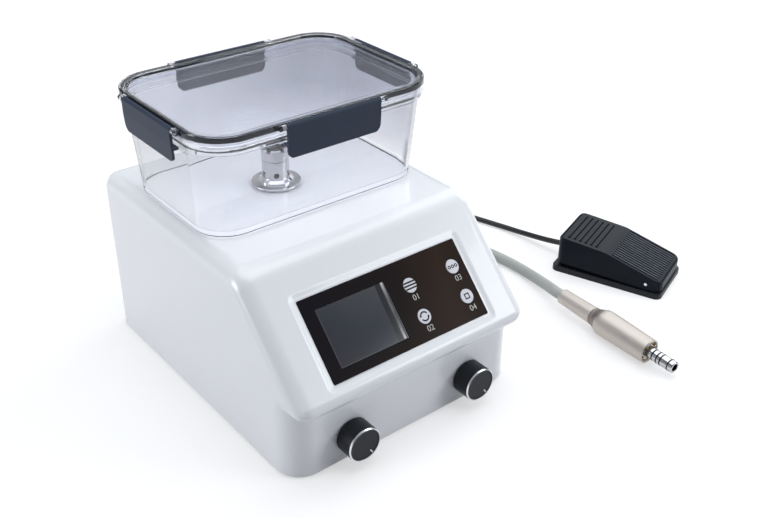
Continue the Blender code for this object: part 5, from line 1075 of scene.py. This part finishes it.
def buildLid():
    ringWidth, innerWall = pick(tank, "ringWidth innerWall")
    rim = (tank["lidHalf"], tank["lidCorner"])
    ring = (smaller(rim[0], ringWidth), rim[1] - ringWidth)
    channel = (smaller(ring[0], -innerWall), ring[1] + innerWall)
    panelTop = lidTop - tank["recess"]
    bm, loops = lofted(
        (*ring, panelTop), (*ring, lidTop), (*rim, lidTop), (*rim, skirtBottom), (*skirt, skirtBottom),
        (*skirt, channelTop), (*channel, channelTop), (*channel, plugBottom), (*ring, plugBottom),
        (*ring, panelTop - tank["panel"]),
    )
    for i, width in ((0, 0.001), (1, 0.001), (2, 0.0011), (3, 0.0004), (4, 0.0003), (7, 0.0003), (8, 0.0005)):
        bevelEdges(bm, loops[i], width, 4)
    barrel, knuckle, out, pinLength, sides = pick(latches, "barrel knuckle out pinLength sides")
    low, end = barrel * 0.8, knuckle / 2
    reach = end - 0.00025
    knuckles, bores = [], []
    for at, length in latchPlaces().values():
        for side in (-1, 1):
            middle = side * (length + fit + end)
            roll = spun([
                (0, end, 0), (barrel, end, 0.0007), (barrel, -end, 0.0007), (0, -end, 0),
            ], 24, ring=False)
            knuckles.append(moved(roll, at @ shift(middle) @ turned(pi / 2, "Y")))
            web = block((middle - reach, -out - latches["root"], -low), (middle + reach, 0, low))
            knuckles.append(moved(web, at))
            bore = rod(latches["pinRadius"] + fit, 2 * pinLength + 4 * fit, (side * length, 0, 0), "X", sides)
            bores.append(moved(bore, at))
    bm = worked(worked(bm, *knuckles, operation="UNION"), *bores)
    for face in sorted(bm.faces, key=lambda face: face.calc_area())[-2:]:
        face.material_index = 1
    addPiece("clear_lid", bm, [lidClear, lidSmoky], ["lid"], atTank, "tank_lid")

    grip, width = pick(tank, "gasketGrip gasketWidth")
    outer = (smaller(skirt[0], -grip), skirt[1] + grip)
    inner = (smaller(outer[0], width), outer[1] - width)
    top, bottom = channelTop + grip, rimTop + fit
    bm = lofted((*outer, bottom), (*outer, top), (*inner, top), (*inner, bottom), closeRound=True)[0]
    bevelSharp(bm, 0.0004, 3, 60.0)
    addPiece("rubber_gasket", bm, gasketDark, ["lid_gasket"], atTank, "tank_lid")


def buildLatches():
    barrel, out, crown, corner, sides = pick(latches, "barrel out crown corner sides")
    low = lipZ - latches["tail"] - hingeZ - latches["bead"]
    ribTop = lipZ - fit - hingeZ
    ribBottom = ribTop - latches["rib"]
    plateIn = barrel - latches["thickness"]
    ribIn = -out - tank["lipInset"] + latches["lipGap"]
    sweep, steps = pi * 3 / 2 - asin(plateIn / barrel), 20
    angles = [sweep * step / steps for step in range(steps + 1)]
    arc = [(barrel * cos(angle), barrel * sin(angle)) for angle in angles]
    arc[-1] = (plateIn, arc[-1][1])
    rest = bent([
        (*arc[-1], 0), (plateIn, ribTop, 0.0003), (ribIn, ribTop, 0.0003), (ribIn, ribBottom, 0.0004),
        (plateIn, ribBottom, 0.0003), (plateIn - crown, low, 0.0004), (barrel - crown, low, 0.0011),
        (barrel, low * 0.42, 0.03), (*arc[0], 0),
    ], False, 8)[1:-1]
    depth = barrel + over
    for side, (at, half) in latchPlaces().items():
        corners = [(half, depth, 0), (-half, depth, 0), (-half, low, corner), (half, low, corner)]
        face = extruded(bent(corners, perTurn=10), -depth - 0.004, depth + 0.004, "XZ")
        bm = worked(extruded(arc + rest, -half, half, "YZ"), face, operation="INTERSECT")
        bevelSharp(bm, 0.00035, 3, 50.0)
        pin = rod(latches["pinRadius"], 2 * (half + latches["pinLength"]), along="X", sides=sides)
        bm = worked(bm, pin, operation="UNION")
        body = f"{side}_latch"
        addPiece(f"{body}_plate", bm, latchDark, [f"latch_{side}"], atTank @ at, body)


def buildColumn():
    radius, neck, bore, drain, shank, drills, slots = pick(column, "radius neck bore drain shank drills slots")
    (flange, flangeTop), (step, stepTop) = pick(column, "flange step")
    base = tankFloorTop
    under, seam, boreFloor = base + fit, base + column["seam"], base + column["boreHeight"]
    sealInner, sealOuter, sealThickness = column["seal"]
    grooveTop = under + fit + sealThickness
    outer, spigotTop = bore + column["spigotWall"], seam + column["spigot"]
    shankBottom = unit["top"] - housing["wall"] - column["shankDrop"]
    barb, barbNeck, barbLength = column["barb"]
    barbBottom = shankBottom - barbLength
    barbMiddle = (shankBottom + barbBottom) / 2
    bm = spun([
        (outer, spigotTop, 0.0003), (outer, seam - fit, 0), (radius, seam - fit, 0.0003),
        (radius, base + neck, 0.0008), (step, base + stepTop, 0.0006), (step, base + flangeTop, 0.0004),
        (flange, base + flangeTop, 0.0006), (flange, under, 0.0002), (sealOuter + fit, under, 0),
        (sealOuter + fit, grooveTop, 0), (sealInner - fit, grooveTop, 0), (sealInner - fit, under, 0),
        (shank, under, 0), (shank, shankBottom, 0.0004), (barbNeck, shankBottom, 0), (barbNeck, barbMiddle, 0),
        (barb, barbMiddle, 0.0002), (barbNeck, barbBottom, 0.0003), (drain, barbBottom, 0.0002),
        (drain, boreFloor, 0), (bore, boreFloor, 0), (bore, spigotTop, 0.0003),
    ], 72)
    length = 2 * radius + over
    cuts = []
    for i in range(drills):
        drill = rod(column["holeRadius"], length, (0, 0, base + column["holeHeight"]), "X", 24)
        cuts.append(moved(drill, turned(pi * i / drills)))
    bm = worked(bm, *cuts)
    bevelSharp(bm, 0.0001, 1, 70.0)
    addPiece("column_body", bm, columnSteel, ["outlet_column"], atColumn)

    capFloor, top = spigotTop + fit, base + column["height"]
    cap = spun([
        (radius, top, 0.0006), (radius, seam, 0.0003), (outer + fit, seam, 0), (outer + fit, capFloor, 0),
        (bore, capFloor, 0.0002), (bore, top, 0.0004),
    ], 72)
    width, depth = column["slot"]
    cuts = [slab((length / 2, width / 2), top - depth, top + depth) for i in range(slots)]
    cap = worked(cap, *[moved(cut, turned(pi * (i + 0.5) / slots)) for i, cut in enumerate(cuts)])
    bevelSharp(cap, 0.0002, 2, 50.0)
    addPiece("column_top", cap, columnSteel, ["column_cap"], atColumn)


# Handpiece motor: stations along its axis, from the tail
motor = dict(
    sleeve=0.0361, tailRadius=0.0066, frontRadius=0.0076, hoseIn=0.008, socket=0.008,
    spigot=0.005, shoulder=((0.039, 0.0078), (0.043, 0.0095), (0.0465, 0.011)),
    bodyRear=(0.0495, 0.0114), bodyFront=(0.0961, 0.01035), bore=0.0088, boreFloor=0.0515,
    wireBore=0.0022, seat=0.0843, flange=0.0027, noseRadius=0.00495, noseTip=0.1214,
    noseBore=0.0032, bearing=0.092, spindle=0.0016, contact=0.094,
    rings=(0.1016, 0.106, 0.1095, 0.1169), ringWire=0.0005, ringProud=0.0002, pins=4,
    bleed=(0.0007, 0.003, 0.0026, radians(-150)), dullRing=(0.0362, 0.044),
)


def paintMotor():
    # turned, blasted metal; the ring behind the shoulder is duller
    paint = Paint("motor_satin", (0.36, 0.325, 0.3), 0.34, 1.0)
    x, y, z = paint.split(paint.moved(atMotor.translation, atMotor.to_euler()))
    rings = paint.lines(z, 5200.0, 3.0)
    grit, cloud = paint.noise(900.0, 3.0), paint.noise(70.0, 4.0)
    low, high = motor["dullRing"]
    isRing = (z > low) * (z < high)
    colour = paint.blend(cloud, (0.52, 0.476, 0.438), (0.58, 0.531, 0.491))
    colour = paint.blend(isRing * 0.8, colour, (0.24, 0.205, 0.19))
    paint.feed(Base_Color=colour, Roughness=0.42 + rings * 0.1 + cloud * 0.08 + isRing * 0.08)
    paint.bump(rings * 0.6 + grit * 0.4, 0.05, 0.0002)
    return paint


motorSatin = paintMotor()


def buildMotor():
    hoseIn, frontRadius, wireBore, spigot, bore = pick(motor, "hoseIn frontRadius wireBore spigot bore")
    hoseBore, length = hose["radius"] + fit, motor["sleeve"]
    socketEnd = length - motor["socket"]
    sleeve = spun([
        (frontRadius, length, 0.00035), (frontRadius * 0.985, length - 0.0012, 0.002),
        (motor["tailRadius"], 0, 0.0009), (hoseBore, 0, 0.0004), (hoseBore, hoseIn, 0), (wireBore, hoseIn, 0),
        (wireBore, socketEnd, 0), (spigot + fit, socketEnd, 0), (spigot + fit, length, 0),
    ], 96)
    addPiece("motor_tail", sleeve, motorSatin, ["motor_sleeve"], atMotor)

    start, rear = length + fit, socketEnd + fit
    (firstZ, firstR), (secondZ, secondR), (thirdZ, thirdR) = motor["shoulder"]
    (rearZ, rearR), (frontZ, frontR), boreFloor = pick(motor, "bodyRear bodyFront boreFloor")
    body = spun([
        (frontR, frontZ, 0.0005), (rearR, rearZ, 0.012), (thirdR, thirdZ, 0.004), (secondR, secondZ, 0.006),
        (firstR, firstZ, 0.004), (frontRadius, start, 0.0003), (spigot, start, 0), (spigot, rear, 0),
        (wireBore, rear, 0), (wireBore, boreFloor, 0), (bore, boreFloor, 0), (bore, frontZ, 0.0003),
    ], 96, perTurn=12)
    addPiece("motor_case", body, motorSatin, ["motor_body"], atMotor)

    radius, tip, wire, proud, bearing, seat = pick(motor, "noseRadius noseTip ringWire ringProud bearing seat")
    inner, spindle, noseBore = bore - fit, motor["spindle"] + fit, motor["noseBore"]
    flangeFront = seat + motor["flange"]
    grooveFloor, grooveHalf = radius + proud - 2 * wire - fit, wire + 0.00012
    profile = [(radius, tip, 0.0009)]
    for z in reversed(motor["rings"]):
        profile += [
            (radius, z + grooveHalf, 0.0001), (grooveFloor, z + grooveHalf, 0), (grooveFloor, z - grooveHalf, 0),
            (radius, z - grooveHalf, 0.0001),
        ]
    profile += [
        (radius, flangeFront, 0), (inner, flangeFront, 0), (inner, seat, 0), (spindle, seat, 0),
        (spindle, bearing, 0), (noseBore, bearing, 0), (noseBore, tip, 0.0004),
    ]
    bleedRadius, bleedLength, bleedBack, bleedTurn = motor["bleed"]
    bleed = rod(bleedRadius, bleedLength, (radius, 0, tip - bleedBack), "X", 16)
    nose = worked(spun(profile, 72), moved(bleed, turned(bleedTurn)))
    addPiece("coupling_nose", nose, noseChrome, ["motor_nose"], atMotor)

    face, hole, foot = motor["contact"], radius + fit, flangeFront + fit
    contact = spun([(inner, face, 0.0003), (inner, foot, 0), (hole, foot, 0), (hole, face, 0.0002)])
    pins = []
    middle = (inner + radius + fit) / 2
    for i in range(motor["pins"]):
        pin = spun([(0, 0.0024, 0), (0.0008, 0.0024, 0.0003), (0.0008, -0.001, 0), (0, -0.001, 0)], 20, ring=False)
        angle = 2 * pi * (i + 0.35) / motor["pins"]
        pins.append(moved(pin, shift(middle * cos(angle), middle * sin(angle), face)))
    paints = [plainSteel, contactGilt]
    whole = together(contact, *pins, index=1)
    addPiece("contact_face", whole, paints, ["contact_disc"], atMotor)

    middle = radius + proud - wire
    corners = [(a * wire, b * wire) for a, b in ((1, 1), (1, -1), (-1, -1), (-1, 1))]
    for i, z in enumerate(motor["rings"], start=1):
        ring = spun([(middle + a, z + b, wire * 0.98) for a, b in corners])
        addPiece(f"seal_ring_{i}", ring, ringRubber, [f"o_ring_{i}"], atMotor)


# Foot switch: X runs from its cable to its toe
pedal = dict(
    baseSize=(0.102, 0.0604, 0.005), baseCorner=0.006, coverWidth=0.0553,
    back=-0.0483, breakAt=-0.003, front=0.0497, backTop=0.0345, breakTop=0.0306, frontTop=0.0153,
    rounds=(0.0005, 0.003, 0.02, 0.004, 0.0005, 0), edge=0.0022, wall=0.002, skirtGap=0.0004,
    press=radians(2.3), pin=(0.036, 0.0107, 0.0015), planRound=0.0075,
    grooves=6, grooveFirst=-0.039, groovePitch=0.0052, grooveSize=(0.0014, 0.0455, 0.0009),
    grooveDot=0.0015, flutes=15, fluteReach=(0.002, 0.0455), fluteSpan=0.049,
    fluteSize=(0.0022, 0.0007), upstand=(-0.0445, 0.046, 0.0246, 0.002, 0.012), lug=(0.0035, 0.0142),
    cableBlock=(0.008, 0.012, 0.0165), cableHeight=0.012, cableIn=0.005, notch=(0.0074, 0.0185),
    springAt=-0.02, springCoil=0.004, springWire=0.0005, springTurns=5, springSides=24,
    springKeep=0.88,
)
pedalBack, pedalBreak, pedalFront, backTop, breakTop, frontTop = pick(
    pedal, "back breakAt front backTop breakTop frontTop"
)


def paintPedal():
    # blue-black plastic: painted shade makes it black in its grooves, and painted highlights make the tops of its
    # ribs pale
    paint = Paint("pedal_black", (0, 0, 0), 0.33, Specular_IOR_Level=0.1)
    x, y, z = paint.split(paint.moved(atPedal.translation, atPedal.to_euler()))
    cloud = paint.noise(38.0, 4.0)
    colour = paint.blend(cloud, (0.0065, 0.01, 0.016), (0.0095, 0.014, 0.021))
    rearTop = (x - pedalBack) * ((breakTop - backTop) / (pedalBreak - pedalBack)) + backTop
    grooveReach = pedal["grooveSize"][1] / 2 + pedal["grooveDot"]
    inRear = (x < pedalBreak - 0.006) * (z > rearTop - 0.003) * (y.size() < grooveReach)
    isGrooveShade = inRear * (z < rearTop - 0.00025)
    toeTop = (x - pedalBreak) * ((frontTop - breakTop) / (pedalFront - pedalBreak)) + breakTop
    begin, end = pedal["fluteReach"]
    reach = pedal["fluteSpan"] / 2 - 0.0008
    inFront = (x > begin + 0.0004) * (x < end - 0.0004) * (y.size() < reach)
    isRibHighlight = inFront * (z > toeTop - 0.00035)
    # painted shade: the grooves darker
    colour = paint.blend(isGrooveShade, colour, (0.0016, 0.0018, 0.0022))
    # painted highlight: the tops of the ribs paler
    colour = paint.blend(isRibHighlight * (0.45 + paint.noise(140.0, 3.0) * 0.6), colour, (0.11, 0.12, 0.138))
    paint.feed(Base_Color=colour, Roughness=0.3 + cloud * 0.08 + isGrooveShade * 0.25)
    paint.bump(paint.noise(1500.0, 3.0), 0.04, 0.0002)
    return paint


pedalBlack = paintPedal()


def keyhole(wide, long, radius, steps=14):
    # outline of a groove with a round end
    mouth = asin(wide / 2 / radius)
    angles = [mouth + (2 * pi - 2 * mouth) * step / steps for step in range(steps + 1)]
    arc = [(radius * sin(angle), radius * cos(angle) - long / 2) for angle in angles]
    return arc + [(-wide / 2, long / 2), (wide / 2, long / 2)]


def coverEdge(a):
    lift = max(pedal["pin"][0] - a, 0) * tan(pedal["press"])
    return pedal["baseSize"][2] + pedal["skirtGap"] + lift


def buildPedal():
    length, width, height = pedal["baseSize"]
    base = extruded(roundedRectangle((length / 2, width / 2), pedal["baseCorner"]), 0, height)
    low = height / 2
    bevelSharp(base, 0.0009, 3, 60.0, low)
    upBack, upFront, upHalf, upWall, upTop = pedal["upstand"]
    upstand = block((upBack, -upHalf, low), (upFront, upHalf, upTop))
    inner = upHalf - upWall
    (lugHalf, lugTop), (pinA, pinZ, pinRadius), cableIn = pick(pedal, "lug pin cableIn")
    room = block((upBack + upWall, -inner, height), (upFront - upWall, inner, lugTop + over))
    lugPlaces = [(pinA, side * (inner + upWall / 2)) for side in (1, -1)]
    lugs = [slab((lugHalf, upWall / 2), low, lugTop, place) for place in lugPlaces]
    blockLength, blockWidth, blockTop = pedal["cableBlock"]
    cableBlock = block((upBack, -blockWidth / 2, low), (upBack + blockLength, blockWidth / 2, blockTop))
    base = worked(worked(base, upstand, operation="UNION"), room)
    base = worked(base, *lugs, cableBlock, operation="UNION")
    socketAt = (upBack + (cableIn - over) / 2, 0, pedal["cableHeight"])
    socket = rod(cable["radius"] + fit, cableIn + over, socketAt, "X")
    pinBores = [rod(pinRadius + fit, 2 * width, (pinA, 0, pinZ), "Y") for i in range(2)]
    base = worked(base, socket, pinBores[0])
    addPiece("switch_base", base, baseBlack, ["pedal_base"], atPedal)

    corners = [
        (pedalFront, coverEdge(pedalFront)), (pedalFront, frontTop), (pedalBreak, breakTop), (pedalBack, backTop),
        (pedalBack, coverEdge(pedalBack)), (pinA, coverEdge(pinA)),
    ]
    half, wall = pedal["coverWidth"] / 2, pedal["wall"]
    outline = bent([(*corner, r) for corner, r in zip(corners, pedal["rounds"])], perTurn=10)
    middle = (pedalFront + pedalBack) / 2
    plan = roundedRectangle((pedalFront - middle, half), pedal["planRound"], middle=(middle, 0), perTurn=8)
    cover = extruded(outline, -half, half, "XZ")
    cover = worked(cover, extruded(plan, -over, 2 * backTop), operation="INTERSECT")
    bottom = max(coverEdge(pedalBack), coverEdge(pedalFront))
    bevelSharp(cover, pedal["edge"], 5, 40.0, bottom + 0.001, max)
    hollow = movedIn(corners, [wall, wall, wall, wall, -over, -over])
    inside = extruded(hollow, -half + wall, half - wall, "XZ")
    notchWidth, notchTop = pedal["notch"]
    notch = block((pedalBack - over, -notchWidth / 2, 0), (pedalBack + wall + over, notchWidth / 2, notchTop))

    rearFall = atan2(backTop - breakTop, pedalBreak - pedalBack)
    atRear = shift(pedalBack, 0, backTop) @ turned(rearFall, "Y")
    wide, long, deep = pedal["grooveSize"]
    cuts = []
    for i in range(pedal["grooves"]):
        a = pedal["grooveFirst"] + pedal["groovePitch"] * i - pedalBack
        cuts.append(moved(extruded(keyhole(wide, long, pedal["grooveDot"]), -deep, deep), atRear @ shift(a)))
    frontFall = atan2(breakTop - frontTop, pedalFront - pedalBreak)
    atFront = shift(pedalBreak, 0, breakTop) @ turned(frontFall, "Y")
    begin, end = [(a - pedalBreak) / cos(frontFall) for a in pedal["fluteReach"]]
    (wide, deep), flutes, span = pick(pedal, "fluteSize flutes fluteSpan")
    for i in range(flutes):
        b = span * (i / (flutes - 1) - 0.5)
        cuts.append(moved(block((begin, b - wide / 2, -deep), (end, b + wide / 2, deep)), atFront))
    cover = worked(cover, inside, notch, pinBores[1], *cuts)
    addPiece("treadle_cover", cover, pedalBlack, ["pedal_cover"], atPedal, "pedal")

    pin = spun([(0, half, 0), (pinRadius, half, 0.0004), (pinRadius, -half, 0.0004), (0, -half, 0)], 32, ring=False)
    at = atPedal @ shift(pinA, 0, pinZ) @ turned(pi / 2, "X")
    addPiece("hinge_pin", pin, brightRing, ["pedal_pin"], at)

    low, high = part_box("pedal_spring")
    wire, turns, coil, sides = pick(pedal, "springWire springTurns springCoil springSides")
    spring = bmesh.new()
    at = shift(coil, 0, low.z + wire) @ turned(pi / 2, "X")
    bmesh.ops.create_circle(spring, segments=10, radius=wire, matrix=at)
    climb = (high.z - low.z - 2 * wire) / (turns * sides)
    bmesh.ops.spin(
        spring, geom=spring.verts[:] + spring.edges[:], cent=(0, 0, 0), axis=(0, 0, 1), dvec=(0, 0, climb),
        angle=2 * pi * turns, steps=turns * sides, use_merge=False, use_duplicate=False,
    )
    bmesh.ops.holes_fill(spring, edges=spring.edges, sides=0)
    bmesh.ops.recalc_face_normals(spring, faces=spring.faces)
    at = atPedal @ shift(pedal["springAt"])
    made = addPiece("return_spring", spring, plainSteel, ["pedal_spring"], at)
    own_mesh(made)


# Back of the control unit: mains inlet with its rocker, and the two glands
glands = dict(
    hose=dict(boot=0.022, wall=0.0014, root=0.0084, flange=0.011, neck=0.0066, lip=0.0086, core=0.003),
    cable=dict(boot=0.018, wall=0.0009, root=0.0054, flange=0.0075, neck=0.0042, lip=0.006, core=0.0016),
    flangeThickness=0.0025, lipThickness=0.0022, grip=0.018, rings=5,
)


def buildGland(name, sizes, radius, place, node):
    boot, wall, root, flange, neck, lip, core = pick(sizes, "boot wall root flange neck lip core")
    seat, rings = fit + glands["flangeThickness"], glands["rings"]
    inside, bore = -housing["wall"] - fit, radius + fit
    tip, lipEnd = seat + boot, inside - glands["lipThickness"]
    floorZ = tip - glands["grip"]
    profile = [(bore + wall, tip, 0.0006)]
    for i in reversed(range(rings)):
        share = (i + 1) / (rings + 1)
        r, z = root + (bore + wall - root) * share, seat + boot * share
        ring = ((0, 0.0009), (-0.0006, 0.0005), (-0.0006, -0.0005), (0.0001, -0.0009))
        profile += [(r + out, z + up, 0.0002) for out, up in ring]
    profile += [
        (root, seat, 0.001), (flange, seat, 0.0007), (flange, fit, 0.0002), (neck, fit, 0), (neck, inside, 0),
        (lip, inside, 0), (lip, lipEnd, 0), (core, lipEnd, 0), (core, floorZ, 0), (bore, floorZ, 0),
        (bore, tip, 0.0003),
    ]
    addPiece(name, spun(profile, 48), bootRubber, [node], onBack(place))


def buildBack():
    buildGland("hose_boot", glands["hose"], hose["radius"], back["hoseGland"], "hose_gland")
    buildGland("cable_boot", glands["cable"], cable["radius"], back["cableGland"], "cable_gland")
    (width, height, thickness), (bodyWidth, bodyHeight, bodyDepth) = pick(back, "inletFlange inletBody")
    front = fit + thickness
    flange = extruded(roundedRectangle((width / 2, height / 2), 0.003, perTurn=6), fit, front)
    bevelSharp(flange, 0.0008, 3, 60.0, front - hair)
    body = slab((bodyWidth / 2, bodyHeight / 2), -bodyDepth, fit + thickness / 2)
    (width, height, depth), drop, chamfer = pick(back, "socket socketDrop socketChamfer")
    right, top, bottom = width / 2, -drop + height / 2, -drop - height / 2
    socketOutline = bent([
        (-right, bottom, 0.001), (right, bottom, 0.001), (right, top - chamfer, 0.0006),
        (right - chamfer, top, 0.0006), (-right + chamfer, top, 0.0006), (-right, top - chamfer, 0.0006),
    ], perTurn=4)
    socketFloor = front - depth
    socket = extruded(socketOutline, socketFloor, front + over)
    halfWide, half, faceZ, dip, lift = (
        back["rockerWidth"] / 2, *pick(back, "rockerHalf rockerFront rockerDip rockerLift")
    )
    tall = (half**2 + faceZ**2) ** 0.5 + fit
    well = slab((halfWide + fit, tall), front - back["wellDepth"], front + over, (0, lift))
    inlet = worked(worked(flange, body, operation="UNION"), socket, well)
    wide, tallPin, long = back["pinSize"]
    pins = [
        slab((wide / 2, tallPin / 2), socketFloor - 0.001, socketFloor + long, (x, y - drop), 0.0003)
        for x, y in back["pins"]
    ]
    atInlet = onBack(back["inlet"])
    whole = together(inlet, *pins, index=1)
    addPiece("power_inlet", whole, [inletBlack, plainSteel], ["mains_inlet"], atInlet)

    backHalf, backDepth = back["rockerBack"]
    outline = bent([
        (-backHalf, -backDepth, 0), (backHalf, -backDepth, 0), (half, faceZ, 0.0005), (0, dip, 0.02),
        (-half, faceZ, 0.0005),
    ])
    rocker = extruded(outline, -halfWide, halfWide, "YZ")
    bevelSharp(rocker, 0.0003, 2, 60.0)
    dipSlope = atan2(faceZ - dip, half)
    markAt, markHeight = pick(back, "markAt markHeight")
    stroke = slab((0.0003, 0.0012), 0, markHeight)
    ringMark = together(*[arcBand(0.0009, 0.0014, turn, turn + pi, 0, markHeight, 16) for turn in (0, pi)])
    rise = dip + tan(dipSlope) * markAt - 0.00004
    moved(stroke, shift(0, markAt, rise) @ turned(dipSlope, "X"))
    moved(ringMark, shift(0, -markAt, rise) @ turned(-dipSlope, "X"))
    whole = together(rocker, stroke, ringMark, index=1)
    at = atInlet @ shift(0, lift, back["rockerClear"]) @ turned(back["rockerTilt"], "X")
    addPiece("rocker_cap", whole, [inletBlack, tickWhite], ["power_rocker"], at, "rocker")


feet = dict(fromSide=0.0175, fromEnd=0.023, radius=0.008, top=0.003, stem=0.0025, head=(0.0036, 0.0066, 0.008))


def buildFeet():
    (head, headLow, headTop), stem, radius, top = pick(feet, "head stem radius top")
    for end, endName in ((-1, "front"), (1, "rear")):
        for side, sideName in ((-1, "left"), (1, "right")):
            foot = spun([
                (0, headTop, 0), (head, headTop, 0.0008), (head, headLow, 0), (stem, headLow, 0), (stem, top, 0),
                (radius, top, 0.0003), (radius - 0.0004, 0, 0.0009), (0.0035, 0, 0.0003), (0.003, 0.0006, 0.0002),
                (0, 0.0006, 0),
            ], 40, ring=False)
            at = atHome @ shift(side * (halfWidth - feet["fromSide"]), end * (backY - feet["fromEnd"]))
            name = f"foot_{endName}_{sideName}"
            addPiece(f"{name}_pad", foot, footRubber, [name], at)


buildHousing()
buildPanel()
buildKeys()
buildKnobs()
buildBack()
buildFeet()
print("control unit built")
buildTank()
buildLid()
buildLatches()
buildColumn()
print("tank built")
buildMotor()
buildPedal()
print("motor and foot switch built")

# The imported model's own nodes: those that show inside, and those that pieces stand for
nodeFinishes = (
    (whiteShell, "housing_shell"), (panelFilm, "display_panel"), (displayGlass, "display_module"),
    (keyFace, "key_mode key_direction key_air key_memory"), (knobPaints["left"], "knob_left"),
    (knobPaints["right"], "knob_right"), (brightRing, "knob_ring_left knob_ring_right pedal_pin"),
    (tankClear, "tank"), (lidClear, "lid"), (gasketDark, "lid_gasket column_seal"),
    (latchDark, "latch_front latch_back latch_left latch_right"), (columnSteel, "outlet_column column_cap"),
    (plainSteel, "column_nut stator rotor_spindle pedal_spring pot_shaft_left pot_shaft_right"),
    (sheetWhite, "base_plate"), (footRubber, "foot_front_left foot_front_right foot_rear_left foot_rear_right"),
    (boardGreen, "main_board"), (supplyMetal, "power_supply"), (pumpMetal, "air_pump water_pump"),
    (potMetal, "potentiometer_left potentiometer_right"), (inletBlack, "mains_inlet power_rocker"),
    (bootRubber, "hose_gland cable_gland"), (motorSatin, "motor_body motor_sleeve"), (noseChrome, "motor_nose"),
    (contactGilt, "contact_disc"), (ringRubber, "o_ring_1 o_ring_2 o_ring_3 o_ring_4"),
    (pedalBlack, "pedal_cover"), (baseBlack, "pedal_base"), (switchBlack, "micro_switch"),
)
for paint, names in nodeFinishes:
    for name in names.split():
        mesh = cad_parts[name].data
        mesh.materials.clear()
        mesh.materials.append(paint.material)
        mesh.set_sharp_from_angle(angle=radians(sharpAngle["node"]))

# Camera at the photograph's place
cameraSet = dict(
    place=(-0.3752, -0.561, 0.484), focal=47.07, sensor=36.0,
    yaw=radians(39.2), pitch=radians(30.9), roll=radians(0.67),
)


def setCamera():
    yaw, pitch, roll = pick(cameraSet, "yaw pitch roll")
    ahead = Vector((sin(yaw) * cos(pitch), cos(yaw) * cos(pitch), -sin(pitch)))
    level = Vector((cos(yaw), -sin(yaw), 0))
    upright = level.cross(ahead)
    right = level * cos(roll) + upright * sin(roll)
    up = -level * sin(roll) + upright * cos(roll)
    data = bpy.data.cameras.new("camera")
    data.lens, data.sensor_width = pick(cameraSet, "focal sensor")
    made = placed("camera", data)
    turn = Matrix((right, up, -ahead)).transposed().to_4x4()
    made.matrix_world = shift(*(home + Vector(cameraSet["place"]))) @ turn
    bpy.context.scene.camera = made


# Studio: a pale floor that keeps shadows, and soft lamps
studio = dict(
    floorSize=12.0, floorColour=(0.54, 0.54, 0.55), floorLift=0.49, floorFade=(0.75, 2.5),
    worldLight=(0.0, 0.34), worldRise=0.8, worldTint=(0.9, 0.945, 1.0), lampTint=(0.955, 0.98, 1.0),
    lamps=[
        dict(name="top_lamp", place=(0.15, 0.2, 1.5), aim=(0.0, 0.0, 0.1), size=1.6, power=17.4),
        dict(name="left_lamp", place=(-1.5, 0.5, 0.35), aim=(0.0, 0.0, 0.08), size=0.6, power=10.2),
        dict(name="front_lamp", place=(1.05, -1.15, 0.7), aim=(0.0, 0.0, 0.08), size=0.8, power=9.8),
        dict(name="right_lamp", place=(1.35, 0.35, 0.8), aim=(0.0, 0.0, 0.08), size=1.0, power=6.4),
    ],
)


def layFloor():
    bm = bmesh.new()
    bmesh.ops.create_grid(bm, x_segments=1, y_segments=1, size=studio["floorSize"] / 2)
    floor = placed("floor", meshOf(bm, "floor"))
    paint = Paint("floor_white", studio["floorColour"], 0.9)
    near, far = studio["floorFade"]
    lift = ((paint.reach(paint.places) - near) * (1 / (far - near))).high(0.0).low(1.0) + studio["floorLift"]
    glow = paint.node("Emission", {}, {"Color": (1, 1, 1), "Strength": lift})
    share = paint.ray("Camera").high(paint.ray("Glossy")).high(paint.ray("Transmission"))
    shown = paint.mixed(share, paint.node("Emission", {}, {"Strength": 0.0}), glow)
    paint.show(paint.node("AddShader", {}, {0: paint.solid, 1: shown}))
    floor.data.materials.append(paint.material)


def lightWorld():
    world = bpy.data.worlds.new("studio")
    bpy.context.scene.world = world
    sky = Tree(world)
    low, high = studio["worldLight"]
    upward = sky.node("SeparateXYZ", {}, {0: sky.node("TexCoord", output="Generated")}, "Z")
    limits = {"Value": upward, "From Max": studio["worldRise"], "To Min": low, "To Max": high}
    rise = sky.node("MapRange", {"interpolation_type": "SMOOTHSTEP"}, limits)
    light = sky.node("Background", {}, {"Color": studio["worldTint"], "Strength": rise})
    backdrop = sky.node("Background", {}, {"Color": (1, 1, 1)})
    sky.show(sky.mixed(sky.ray("Camera").high(sky.ray("Transmission")), light, backdrop), "World Output")


def setLamps():
    for lamp in studio["lamps"]:
        data = bpy.data.lights.new(lamp["name"], "AREA")
        data.shape, data.color = "SQUARE", studio["lampTint"]
        data.size, data.energy = pick(lamp, "size power")
        made = placed(lamp["name"], data)
        made.location = home + Vector(lamp["place"])
        aim = home + Vector(lamp["aim"]) - made.location
        made.rotation_euler = aim.to_track_quat("-Z", "Y").to_euler()


setCamera()
layFloor()
lightWorld()
setLamps()
bpy.context.scene.view_settings.view_transform = "Standard"
print("camera and studio set")
